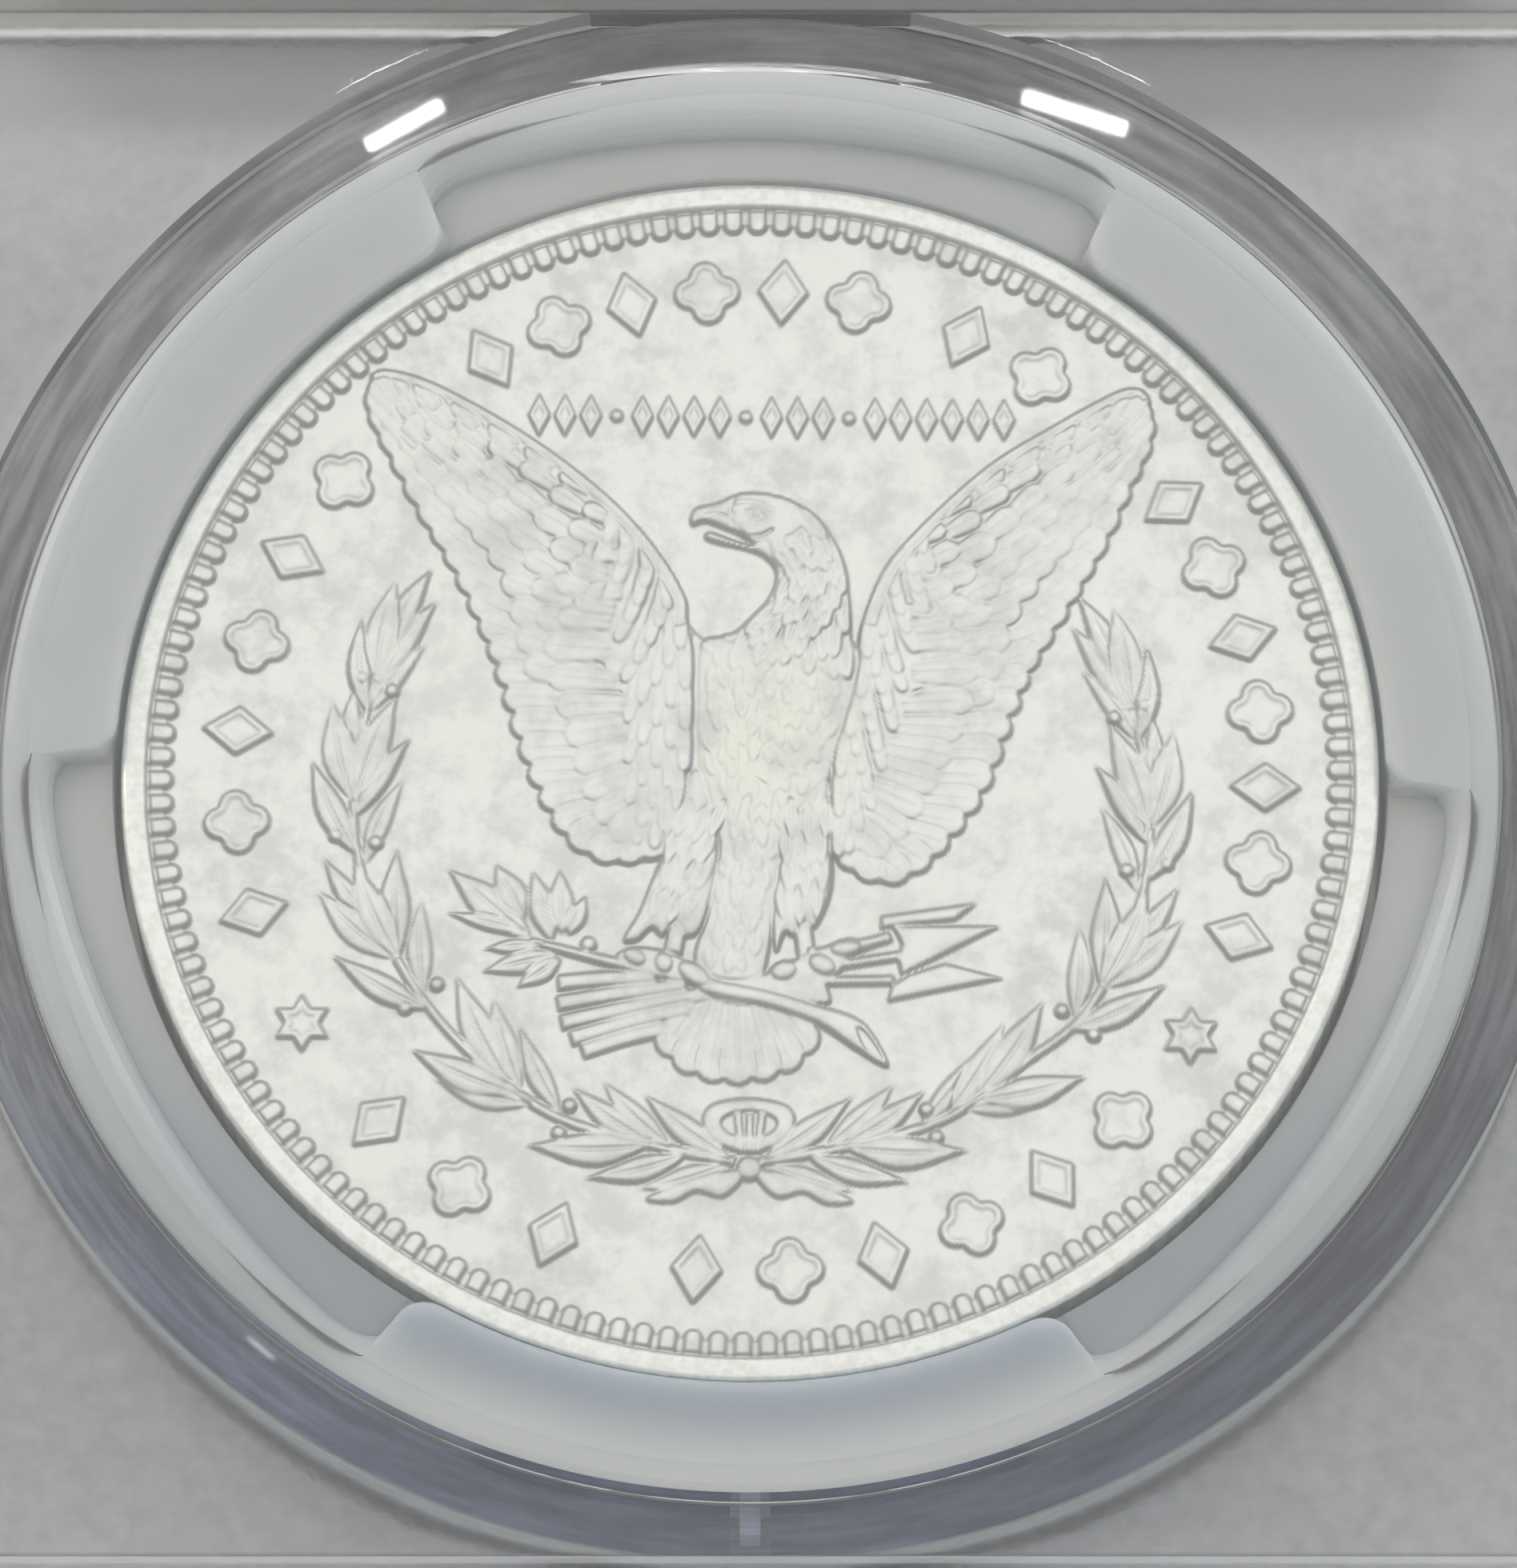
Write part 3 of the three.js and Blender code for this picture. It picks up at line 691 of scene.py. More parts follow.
# ---- Wreath, bow, stars and border ornaments ------------------------------------------------
# Tips and widths of the leaves on the left half, from the bow upwards. The right half mirrors them.
LEAVES = [
    (-3.23, -13.05, 0.75), (-3.09, -10.09, 0.8), (-4.77, -12.75, 0.75), (-4.34, -9.66, 0.75),
    (-5.25, -9.89, 0.75), (-6.54, -11.75, 1.0), (-9.44, -9.66, 0.8), (-6.85, -8.0, 0.7),
    (-10.08, -8.79, 0.95), (-7.65, -7.06, 0.85), (-8.79, -6.42, 1.0), (-12.5, -5.87, 0.8),
    (-9.85, -3.97, 0.75), (-12.87, -2.76, 0.7), (-10.64, -2.47, 0.9), (-13.05, -3.78, 0.95),
    (-11.94, -2.85, 0.95), (-13.29, 0.31, 0.85), (-10.46, -0.18, 0.65), (-12.03, 2.75, 0.75),
    (-10.32, 1.04, 0.7), (-12.7, 2.26, 1.0), (-10.73, 2.45, 1.0), (-11.89, 4.89, 0.7),
    (-9.85, 4.11, 0.65), (-9.57, 5.47, 0.8), (-9.76, 6.5, 0.75), (-10.83, 6.2, 0.95)
]
WREATH_STEM = [
    (-0.3, -12.2), (-3.2, -11.6), (-5.88, -10.75), (-8.2, -9.0), (-9.99, -6.9), (-11.3, -4.4),
    (-11.94, -2.03), (-11.9, 0.6), (-11.43, 2.65), (-11.0, 4.2)
]
LEAF_LENGTH = 3.7
BERRIES = [
    (-12.5, -2.08), (-11.29, -2.3), (-9.35, -6.75), (-10.3, -7.5), (-5.3, -10.5), (-5.6, -11.35),
    (-10.9, 2.55), (-11.8, 2.95)
]
MIRROR = 0.06  # x of the line between the halves


def wreath(relief):
    for side in (-1, 1):
        def flip(point):
            """The same place on the half in hand; the right half hangs a little lower above the bow."""
            x, y = point
            return np.array([MIRROR - side * (x - MIRROR), y - 0.6 * (side > 0 and y > -9)])

        stem = curve([flip(p) for p in WREATH_STEM])
        relief.tube(stem, (0.16, 0.1), 0.05, 0.06)
        for k, (x, y, wide) in enumerate(LEAVES):
            tip = flip((x, y))
            away = np.hypot(*(stem - tip).T)
            root = stem[np.abs(away[:away.argmin() + 1] - LEAF_LENGTH * (0.6 + 0.4 * wide)).argmin()]
            out = tip - root
            bend = 0.12 * np.sign(out[0] * root[1] - out[1] * root[0])
            layer = 0.03 + 0.028 * (k % 3)
            relief.blade(root + 0.05 * out, tip, wide * 1.05, layer, 0.075, shaft=0.05, sharp=1, bend=bend)
        for x, y in BERRIES:
            relief.ball(flip((x, y)), 0.21, 0.12, 0.06)


KNOT = [
    (-1.3, -10.95), (-1.0, -10.4), (0.1, -10.2), (1.2, -10.4), (1.48, -10.95), (1.1, -11.6),
    (0.1, -11.9), (-0.95, -11.6)
]
KNOT_HOLLOW = [
    (-0.75, -11.0), (-0.5, -10.72), (0.1, -10.6), (0.7, -10.72), (0.95, -11.0), (0.6, -11.35),
    (-0.4, -11.35)
]
RIBBON = [
    (0.2, -12.45), (0.9, -12.5), (1.8, -12.75), (3.1, -13.36), (2.3, -13.48), (1.6, -13.14),
    (0.85, -13.3), (0.3, -12.85)
]


def bow(relief):
    relief.mound(curve(KNOT, closed=True), 0.07, 0.06, 0.35)
    relief.mound(curve(KNOT_HOLLOW, closed=True), 0.055, 0, 1)
    for x in (-0.25, 0.12, 0.5):
        relief.tube(np.array([(x, -10.65), (x * 0.6 + 0.05, -11.9)]), 0.12, 0.08, 0.04)
    for side in (-1, 1):
        ribbon = curve([(0.15 + side * x, y) for x, y in RIBBON], closed=True)
        relief.mound(ribbon, 0.07, 0.05, 0.3, 0.09)
    relief.ball((0.12, -12.4), 0.38, 0.1, 0.07)


def star_outline(points, outer, inner, turn):
    return [polar(inner if k % 2 else outer, turn + 180 / points * k) for k in range(2 * points)]


def frame_shape(relief, outline, centre, top=0.12, line=0.17):
    """A raised shape with a slightly lowered middle, as struck ornaments have."""
    p = np.asarray(outline) + centre
    relief.stamp(p, lambda x, y, i: top - 0.035 * ease((i - line) / 0.1), 0.10)


def lozenge(tall, wide):
    return np.array([(0, tall / 2), (wide / 2, 0), (0, -tall / 2), (-wide / 2, 0)])


def quatrefoil(size):
    return np.array([polar(size * (0.33 + 0.17 * abs(math.cos(math.radians(2 * a))) ** 0.8), a)
                     for a in range(0, 360, 10)])


BORDER_RADIUS = 15.6
# Rows of ornaments round the border: first angle, last angle and count.
ORNAMENT_ROWS = [
    (196.9, 143.4, 6), (121.4, 78.4, 6), (65.6, 56.0, 2), (34.8, -18.5, 7), (225.1, 248.5, 3),
    (264.8, 316.5, 6)
]
STAR_ANGLES = (210.9, -31.2)
ROW_Y = 11.5  # the row of lozenges over the eagle's head, and which of them are dots
ROW_DOTS = (3, 8, 12)


def ornaments(relief):
    for first, last, count in ORNAMENT_ROWS:
        for k, a in enumerate(np.linspace(first, last, count)):
            shape = quatrefoil(2.0) if k % 2 else lozenge(2.15, 1.55)
            frame_shape(relief, turned(shape, a - 90), polar(BORDER_RADIUS, a))
    for a in STAR_ANGLES:
        frame_shape(relief, star_outline(6, 0.9, 0.52, a), polar(BORDER_RADIUS, a))
    for k, x in enumerate(np.arange(-6.6, 7.7, 0.79)):
        if k in ROW_DOTS:
            relief.ball((x, ROW_Y), 0.2, 0.05, 0.06)
        else:
            frame_shape(relief, lozenge(1.35, 0.66), (x, ROW_Y), 0.10, 0.1)


FACE_REACH = 17.6  # the struck middle of a face, a little past the start of the beads


def eagle_face(pitch):
    relief = Relief(FACE_REACH, pitch)
    wreath(relief)
    bow(relief)
    ornaments(relief)
    tail(relief)
    wing(relief, LEFT_LEADING, LEFT_TRAILING, LEFT_FOLD, -1)
    wing(relief, RIGHT_LEADING, RIGHT_TRAILING, RIGHT_FOLD, 1)
    body(relief)
    head(relief)
    branch_and_arrows(relief)
    claws(relief)
    return relief


def sun_face(pitch):
    """The side that faces down: a plain sun inside the same wreath, with stars round it."""
    relief = Relief(FACE_REACH, pitch)
    wreath(relief)
    bow(relief)
    for k in range(16):
        a = 90 + 22.5 * k
        relief.blade(polar(3.5, a), polar(8.6 if k % 2 else 9.4, a), 1.5, 0.05, 0.08, shaft=0.0, sharp=1)
    disc = [polar(4.4, a) for a in range(0, 360, 6)]
    relief.mound(disc, 0.08, 0.1, 2.5)
    for a in range(0, 360, 15):
        frame_shape(relief, star_outline(6, 0.8, 0.46, a), polar(BORDER_RADIUS, a))
    return relief


# ---- Coin -----------------------------------------------------------------------------------
def border_height(radius, angle):
    """Heights over the field from the beads of the border out to the flat rim. A bead is a round head with
    straight sides outwards, and a low bar stands in each gap behind the heads. Both sink before the rim."""
    pitch = 2 * math.pi / DENTILS
    aside = (np.mod(angle / pitch, 1) - 0.5) * pitch * radius
    from_head = np.hypot(aside, np.maximum(BEAD_HEADS - radius, 0))
    bead = ease((BEAD_HALF - from_head) / 0.1 + 0.5) * (0.15 + 0.03 * np.cos(aside * 5))
    from_gap = np.abs(np.abs(aside) - pitch * radius / 2)
    bar = 0.06 * ease((0.06 - from_gap) / 0.08 + 0.5) * ease((radius - 17.7) / 0.1)
    teeth = np.maximum(bead, bar) * (1 - 0.55 * ease((radius - 18.14) / 0.1))
    rise = ease((radius - 18.24) / 0.14)
    return teeth * (1 - rise) + FIELD * rise


def circle_angles(columns, turn_deg=0.0):
    return np.linspace(0, 2 * math.pi, columns, endpoint=False) + math.radians(turn_deg)


def face_rings(relief, columns):
    """Radii and heights of one face from the rim's flat inwards, halving the columns as it closes."""
    surface = relief.frozen()
    rings = []
    for radius in np.arange(RIM_FLAT, BORDER - 1e-6, -0.052):
        rings.append((radius, border_height(np.full(AROUND, radius), circle_angles(AROUND))))
    step = 2 * math.pi * BORDER / columns
    radius = BORDER - step
    while radius > 0.3:
        if columns > FEWEST and 2 * math.pi * radius / columns < step / 2:
            columns //= 2
        angle = circle_angles(columns)
        rings.append((radius, surface(radius * np.cos(angle), radius * np.sin(angle))))
        radius -= step
    return rings


def ring_points(radius, height, turn_deg):
    angle = circle_angles(len(height), turn_deg)
    radius = np.broadcast_to(radius, angle.shape)
    return np.column_stack([radius * np.cos(angle), COIN_Y + radius * np.sin(angle), height])


def bridge(outer_start, outer_count, inner_start, inner_count):
    """Faces between a ring and the next one in, which has as many columns or half as many."""
    k = np.arange(inner_count)
    nxt = (k + 1) % inner_count
    if inner_count == outer_count:
        quads = np.column_stack([outer_start + k, outer_start + nxt, inner_start + nxt, inner_start + k])
        return quads, np.empty((0, 3), int)
    a, b, c = outer_start + 2 * k, outer_start + 2 * k + 1, outer_start + (2 * k + 2) % outer_count
    d, e = inner_start + k, inner_start + nxt
    return np.column_stack([b, c, e, d]), np.column_stack([a, b, d])


def coin_rings(upper, lower):
    """The coin's rings, from the middle of the upper face round the edge to that of the lower one, and the
    two middles."""
    half = (COIN_HIGH[2] - COIN_LOW[2]) / 2
    field = half - FIELD
    chamfer = 0.1
    reed = 0.5 + 0.5 * np.cos(circle_angles(AROUND) * REEDS)
    edge = [(RIM + 0.2, half), (COIN_RADIUS - chamfer - 0.1, half),
            (COIN_RADIUS - 0.5 * chamfer, half - 0.25 * chamfer), (COIN_RADIUS, half - chamfer)]
    rows = [(radius, field + height) for radius, height in face_rings(upper, AROUND)[::-1]]
    rows += [(radius, np.full(AROUND, height)) for radius, height in edge]
    rows += [(COIN_RADIUS - 0.09 * reed**1.5, np.full(AROUND, height))
             for height in (half - chamfer - 0.08, 0.4, -0.4, chamfer + 0.08 - half)]
    rows += [(radius, np.full(AROUND, -height)) for radius, height in edge[::-1]]
    rows += [(radius, -field - height) for radius, height in face_rings(lower, AROUND // 2)]
    middles = [[(0, COIN_Y, MID + field + upper.centre())], [(0, COIN_Y, MID - field - lower.centre())]]
    return [ring_points(radius, MID + height, COIN_TURN) for radius, height in rows], middles


def coin_faces(rings):
    """Quads and triangles between the rings, and a fan of triangles over each middle."""
    starts = np.concatenate([[0], np.cumsum([len(r) for r in rings])])
    quads, triangles = [], []
    for k in range(len(rings) - 1):
        a, b = len(rings[k]), len(rings[k + 1])
        if a <= b:  # bridge() takes the ring with more columns first
            q, t = bridge(starts[k + 1], b, starts[k], a)
        else:
            q, t = (faces[:, ::-1] for faces in bridge(starts[k], a, starts[k + 1], b))
        quads.append(q)
        triangles.append(t)
    for ring, centre, flip in ((0, starts[-1], 1), (len(rings) - 1, starts[-1] + 1, -1)):
        count = len(rings[ring])
        k = np.arange(count)
        fan = [starts[ring] + k, starts[ring] + (k + 1) % count, np.full(count, centre)]
        triangles.append(np.column_stack(fan)[:, ::flip])
    return np.vstack(quads), np.vstack(triangles)


def coin_mesh(name, upper, lower):
    """One closed mesh: upper face, rim, reeded edge, rim and lower face."""
    rings, middles = coin_rings(upper, lower)
    points = np.vstack(rings + middles)
    quads, triangles = coin_faces(rings)
    mesh = bpy.data.meshes.new(name)
    mesh.vertices.add(len(points))
    mesh.vertices.foreach_set("co", (points * MM).astype(np.float32).ravel())
    mesh.loops.add(quads.size + triangles.size)
    corners = np.concatenate([quads.ravel(), triangles.ravel()])
    starts = np.concatenate([np.arange(len(quads)) * 4, quads.size + np.arange(len(triangles)) * 3])
    mesh.loops.foreach_set("vertex_index", corners.astype(np.int32))
    mesh.polygons.add(len(starts))
    mesh.polygons.foreach_set("loop_start", starts.astype(np.int32))
    mesh.polygons.foreach_set("use_smooth", np.ones(len(starts), bool))
    mesh.update(calc_edges=True)
    mesh.validate()
    piece = bpy.data.objects.new(name, mesh)
    bpy.context.scene.collection.objects.link(piece)
    return outward(piece)


# ---- Soft ring ------------------------------------------------------------------------------
def ring_inner_outline():
    """Inner outline of the soft ring: three prongs close to the coin, and the wall back between them."""
    corner = math.degrees(1.0 / PAD_RADIUS)
    gap = 360 / len(PAD_CENTRES) - 2 * PAD_HALF
    points = []

    def rounded_corner(turns, at_deg, side):
        for turn in turns * math.pi / 2:
            radius = PAD_RADIUS + PAD_CORNER * (1 - math.cos(turn))
            points.append(polar(radius, at_deg + side * corner * (1 - math.sin(turn))))

    for centre in PAD_CENTRES:
        for a in np.linspace(-PAD_HALF + corner, PAD_HALF - corner, 60):
            points.append(polar(PAD_RADIUS, centre + a))
        rounded_corner(np.linspace(0.1, 1, 8), centre + PAD_HALF, -1)
        for t in np.linspace(0, 1, 60):
            bow = 1 - (2 * t - 1) ** 2
            radius = GAP_REACH[0] + (GAP_REACH[1] - GAP_REACH[0]) * bow
            soft = 0.55 * (math.exp(-t * 40) + math.exp(-(1 - t) * 40))
            points.append(polar(radius - soft, centre + PAD_HALF + gap * (0.008 + 0.984 * t)))
        rounded_corner(np.linspace(1, 0.1, 8), centre + PAD_HALF + gap, 1)
    return np.array(points)


def soft_ring(name):
    """The ring: a foot at the coin's edge, a rounded top that steps back between the prongs, and a key."""
    low, high = RING_LOW[2], RING_HIGH[2]
    inner = ring_inner_outline()
    inner_radius = np.hypot(*inner.T)
    angle = np.arctan2(inner[:, 1], inner[:, 0])
    way = np.column_stack([np.cos(angle), np.sin(angle)])
    fillet = 0.22
    shoulder = fillet + 0.75 * ease((inner_radius - PAD_RADIUS - 0.5) / 1.0)[:, None]
    foot = way * np.minimum(inner_radius, RING_FOOT)[:, None]
    columns = [(foot + way * fillet, low), (foot, low + fillet), (foot, RING_FOOT_Z),
               (foot + way * 0.04, RING_FOOT_Z + 0.12)]
    for turn in np.linspace(0, math.pi / 2, 6):
        drop = shoulder[:, 0] * (1 - math.sin(turn))
        columns.append((inner + way * shoulder * (1 - math.cos(turn)), high - drop))
    back = [(RING_STEP - 0.1, high), (RING_STEP, high - 0.06), (RING_OUTER - 0.3, high - 0.08),
            (RING_OUTER - 0.08, high - 0.16), (RING_OUTER, high - 0.4), (RING_OUTER, low + 0.1),
            (RING_OUTER - 0.1, low)]
    columns += [(way * radius, z) for radius, z in back]
    rings = [[(x, y + COIN_Y, z) for (x, y), z in zip(points, np.broadcast_to(z, len(points)))]
             for points, z in columns]
    reach = COIN_Y - RING_LOW[1]
    tab = [(-1.1, 0.7 - RING_OUTER), (-0.32, -0.05 - RING_OUTER), (-0.3, -reach), (0.3, -reach),
           (0.32, -0.05 - RING_OUTER), (1.1, 0.7 - RING_OUTER)]
    key = skin("key", [[(x, y + COIN_Y, z) for x, y in tab] for z in (low + 0.01, MID - SEAM - 0.02)])
    return combine(skin(name, rings, True, 35), key, "UNION")


# ---- Case -----------------------------------------------------------------------------------
def card_frame(inset):
    return rounded_rectangle(LABEL_WIDTH - 2 * inset, LABEL_HEIGHT - 2 * inset, 1.2, 0, LABEL_Y)


def shell_half(name, side):
    """One half of the case. side is +1 for the back, whose outer face is up, and -1 for the front.

    Profiles are (inset or radius, distance from the middle plane).
    """
    face, tip = MID - LIP, MID
    inside = face - PLATE
    lip = BACK_LIP if side > 0 else FRONT_LIP

    def at(profile):
        return [(inset, MID + side * distance) for inset, distance in profile]

    edge = [(0, SEAM), (0, tip), (lip[1], tip), (lip[1], face), (lip[1] + 1, face)]
    if side > 0:
        edge[1:2] = [(0, face), (lip[0], face), (lip[0], tip)]
    body = loft(name, case_outline, at(soften(edge, 0.18)))
    room = soften([(WALL, SEAM - 1), (WALL, inside), (WALL + 1, inside)], 0.3)
    combine(body, loft("room", case_outline, at(room)), "DIFFERENCE")

    def band(outline, profile, radius, operation="UNION"):
        """Joins a band of this profile round the outline to the half, or cuts it away."""
        combine(body, loft("band", outline, at(soften(profile, radius, closed=True)), True), operation)

    sunk = inside + 0.4  # bands reach this far into the plate
    near, far = WELL
    band(circle_outline, [(near, SEAM), (near, SEAM + 0.1), (near, sunk), (far, sunk), (far, SEAM),
                          (near + 0.1, SEAM)], 0.25)
    card = box_mm("back_label" if side > 0 else "front_label")
    ledge = 0.3 + (card[1][2] - MID if side > 0 else MID - card[0][2])
    outer = -LABEL_FRAME[side] - 0.3
    band(card_frame, [(outer, SEAM), (outer, sunk), (-0.3, sunk), (-0.3, SEAM)], 0.08)
    band(card_frame, [(outer + 0.4, ledge), (outer + 0.4, sunk), (1.0, sunk), (1.0, ledge)], 0.08)
    if side > 0:
        start, end, rise = GROOVE
        band(case_outline, [(start, -1), (start, rise), (end, rise), (end, -1)], 0.06, "DIFFERENCE")
        return body

    def notch_outline(inset):
        return rounded_rectangle(NOTCH, 3.0, 0.1, 0, COIN_Y - (near + far) / 2, 2)

    combine(body, loft("notch", notch_outline, at([(0, -1), (0, inside)])), "DIFFERENCE")
    start, end, rise = RIDGE
    band(case_outline, [(start, SEAM + 0.3), (start, -rise), (end, -rise), (end, SEAM + 0.3)], 0.06)
    return body


# ---- Cards and sticker ----------------------------------------------------------------------
def sheet_piece(name, node, corner, bevel=0.05):
    """A thin card or foil in the place of its CAD node, with softened edges."""
    low, high = box_mm(node)
    middle, size = (low + high) / 2, high - low

    def outline(inset):
        return rounded_rectangle(size[0] - 2 * inset, size[1] - 2 * inset, corner, middle[0], middle[1])

    foot, top = low[2], high[2]
    profile = [(bevel, foot), (0, foot + bevel), (0, top - bevel), (bevel, top), (bevel + 1, top)]
    return loft(name, outline, soften(profile, bevel))


# ---- Materials ------------------------------------------------------------------------------
def clear_case():
    """Clear polystyrene with a faintly grained panel, painted shade in the well wall by its seam and
    painted light on the panel towards the label.
    """
    s = new_material("clear_case")
    x, y, z = s.axes()
    radius, across = s.from_axis(), s.size(x)
    inset = s.math("MINIMUM", s.minus(WIDTH / 2 * MM, across), s.minus(HEIGHT / 2 * MM, s.size(y)))

    # Panel: everything round the well but the window over the card.
    window = s.times(s.fade(across, LABEL_WIDTH / 2 + 0.8, LABEL_WIDTH / 2),
                     s.fade(s.size(s.minus(y, LABEL_Y * MM)), LABEL_HEIGHT / 2 + 0.8, LABEL_HEIGHT / 2))
    panel = s.times(s.fade(radius, WELL[1], WELL[1] + 0.4), s.minus(1.0, window))
    grain = s.noise(2600, 2, 0.6)
    haze = s.noise(90, 3, 0.6)
    mottle = s.times(panel, s.ramp(s.noise(1300, 4, 0.7), 0.35, 0.65))
    over_well = s.mix(haze, (0.95, 0.965, 0.96), (0.975, 0.985, 0.98))
    hazy = s.mix(s.times(s.plus(haze, mottle), 0.5), (1.0, 0.985, 0.995), (0.79, 0.805, 0.815))
    # Towards the label the tint goes to clear white: painted light that lifts the shade cast by the label's
    # wall.
    haze_and_painted_light = s.mix(s.fade(y, 4.5, 10.3), s.mix(panel, over_well, hazy), (1.0, 1.0, 1.0))

    # Well wall: painted shade for the dark look of the refracting wall, in streaks round it by its seam,
    # bluer in the low half and darker to the right.
    in_wall = s.band(radius, WELL[0] - 0.1, WELL[0] + 0.05, WELL[1] - 0.1, WELL[1] + 0.1)
    seam = s.fade(s.size(s.minus(z, MID * MM)), 1.6, 0.3)
    turn = s.math("ARCTAN2", s.minus(y, COIN_Y * MM), x)
    along = s.node("CombineXYZ", {0: s.times(turn, 5.0), 1: s.times(radius, 2600.0)}).outputs[0]
    streak = s.ramp(s.noise(1.0, 4, 0.6, along), 0.35, 0.65)
    low = s.fade(y, COIN_Y, COIN_Y - 22)
    dark = s.mix(low, (0.34, 0.335, 0.34), (0.265, 0.295, 0.445))
    pale = s.mix(low, (0.72, 0.71, 0.71), (0.53, 0.59, 0.82))
    # A thin painted shade line along the wall's inner edge.
    inner_shade_line = s.fade(radius, WELL[0] + 0.18, WELL[0] + 0.06)
    wall_shade = s.mix(inner_shade_line, s.mix(streak, dark, pale), (0.33, 0.33, 0.36))
    # More painted shade towards the right, strongest in the low half.
    right = s.times(s.fade(x, 4, 19), s.ramp(low, 0.0, 0.6, 0.16, 0.5))
    wall_shade = s.mix(right, wall_shade, (0.14, 0.13, 0.13))
    colour = s.mix(s.times(in_wall, seam), haze_and_painted_light, wall_shade)

    # Stacking lip: a painted shade line at its inner foot, and a painted highlight on top beside it.
    foot, flat = BACK_LIP[1], TOP - LIP
    # Painted shade: a bluish dark line along the lip's inner foot, at the level of the flat face.
    line = s.band(inset, foot - 0.1, foot, foot + 0.1, foot + 0.22)
    colour = s.mix(s.times(line, s.fade(z, flat - 0.1, flat - 0.02)), colour, (0.52, 0.56, 0.62))
    # Painted highlight: a pale matt band along the top of the lip, mixed into the glass below.
    ridge = s.band(inset, foot - 0.32, foot - 0.24, foot - 0.1, foot - 0.02)
    lip_highlight = s.times(ridge, s.fade(z, TOP - 0.2, TOP - 0.08))

    normal = s.bump(s.times(grain, panel), 0.02, 0.35)
    roughness = s.plus(s.times(panel, 0.16), 0.015)
    glass = s.principled(colour, roughness, normal, IOR=1.59, Transmission_Weight=1.0)
    painted_highlight = s.node("BsdfDiffuse", {"Color": (0.86, 0.88, 0.90, 1)}).outputs[0]
    glass = s.node("MixShader", {0: s.times(lip_highlight, 0.32), 1: glass, 2: painted_highlight}).outputs[0]
    clear = s.node("BsdfTransparent", {"Color": (0.93, 0.94, 0.94, 1)}).outputs[0]
    in_shadow = s.node("LightPath").outputs["Is Shadow Ray"]
    return s.surface(s.node("MixShader", {0: in_shadow, 1: glass, 2: clear}).outputs[0])


def soft_ring_plastic():
    """Milky, slightly blue elastomer that lets light through. In the half away from the label it is bluer,
    with painted shade by the coin and painted light towards the wall; lower down it is paler, painted light
    that lifts the shade in the gaps.
    """
    s = new_material("soft_ring")
    _, y, z = s.axes()
    low = s.fade(y, COIN_Y - 3, COIN_Y - 17)
    colour = s.mix(s.noise(260, 4, 0.6), (0.48, 0.49, 0.495), (0.54, 0.552, 0.553))
    # In the half away from the label: painted shade, dark and bluish, by the coin, and painted light
    # towards the wall, palest at the bottom.
    outer = s.mix(s.fade(y, COIN_Y - 16, COIN_Y - 20.5), (0.41, 0.43, 0.44), (0.58, 0.59, 0.59))
    colour = s.mix(low, colour, s.mix(s.fade(s.from_axis(), 19.9, 21.9), (0.34, 0.37, 0.42), outer))
    # Paler lower down: painted light that lifts the shade in the gaps between the prongs.
    colour = s.mix(s.fade(z, 5.0, 3.8), colour, (0.75, 0.77, 0.775))
    normal = s.bump(s.noise(1800, 3, 0.6), 0.02, 0.25)
    return s.surface(s.principled(colour, 0.34, normal, IOR=1.43, Subsurface_Weight=1.0,
                                  Subsurface_Scale=0.004, Subsurface_Radius=(0.8, 0.95, 1.0)))


def struck_silver():
    """Uncirculated silver: satin field, painted shade on every steep step of the relief, a warm patch on
    the breast.
    """
    s = new_material("coin_silver")
    steep_shade = s.node("Attribute", attribute_name="steep_shade").outputs["Fac"]
    blotch = s.noise(700, 6, 0.66)
    cloud = s.noise(170, 3, 0.55)
    fine = s.noise(3000, 3, 0.6)
    bright = s.mix(s.ramp(blotch, 0.34, 0.6), (0.68, 0.68, 0.655), (0.87, 0.865, 0.83))
    bright = s.mix(s.ramp(cloud, 0.3, 0.7, 0.0, 0.35), bright, (0.87, 0.865, 0.815))
    x, y, _ = s.axes()
    from_breast = s.length(s.minus(x, 0.9 * MM), s.minus(y, (COIN_Y + 1.2) * MM))
    warm = s.times(s.fade(from_breast, 3.4, 0.8), s.ramp(blotch, 0.4, 0.6, 0.2, 0.9))
    bright = s.mix(warm, bright, (0.88, 0.86, 0.76))
    # Painted shade: grey where the relief is steep, standing in for the darker reflection on steep faces.
    colour = s.mix(s.math("MULTIPLY", steep_shade, 0.9, clamp=True), bright, (0.43, 0.43, 0.43))
    rim = s.mix(s.ramp(fine, 0.35, 0.6), (0.84, 0.835, 0.79), (0.94, 0.935, 0.90))
    colour = s.mix(s.fade(s.from_axis(), RIM - 0.18, RIM + 0.07), colour, rim)
    roughness = s.plus(s.plus(s.times(fine, 0.12), s.times(steep_shade, 0.3)), 0.33)
    normal = s.bump(s.plus(fine, s.times(blotch, 2.0)), 0.014, 0.45)
    return s.surface(s.principled(colour, roughness, normal, Metallic=1.0))


# Printed blocks where lines of text would be: middle and half size as shares of the card's half sizes.
PRINT_BLOCKS = (
    (-0.42, 0.36, 0.5, 0.1), (-0.5, 0.28, 0.14, 0.05), (-0.46, 0.32, -0.1, 0.05),
    (-0.56, 0.22, -0.5, 0.12)
)


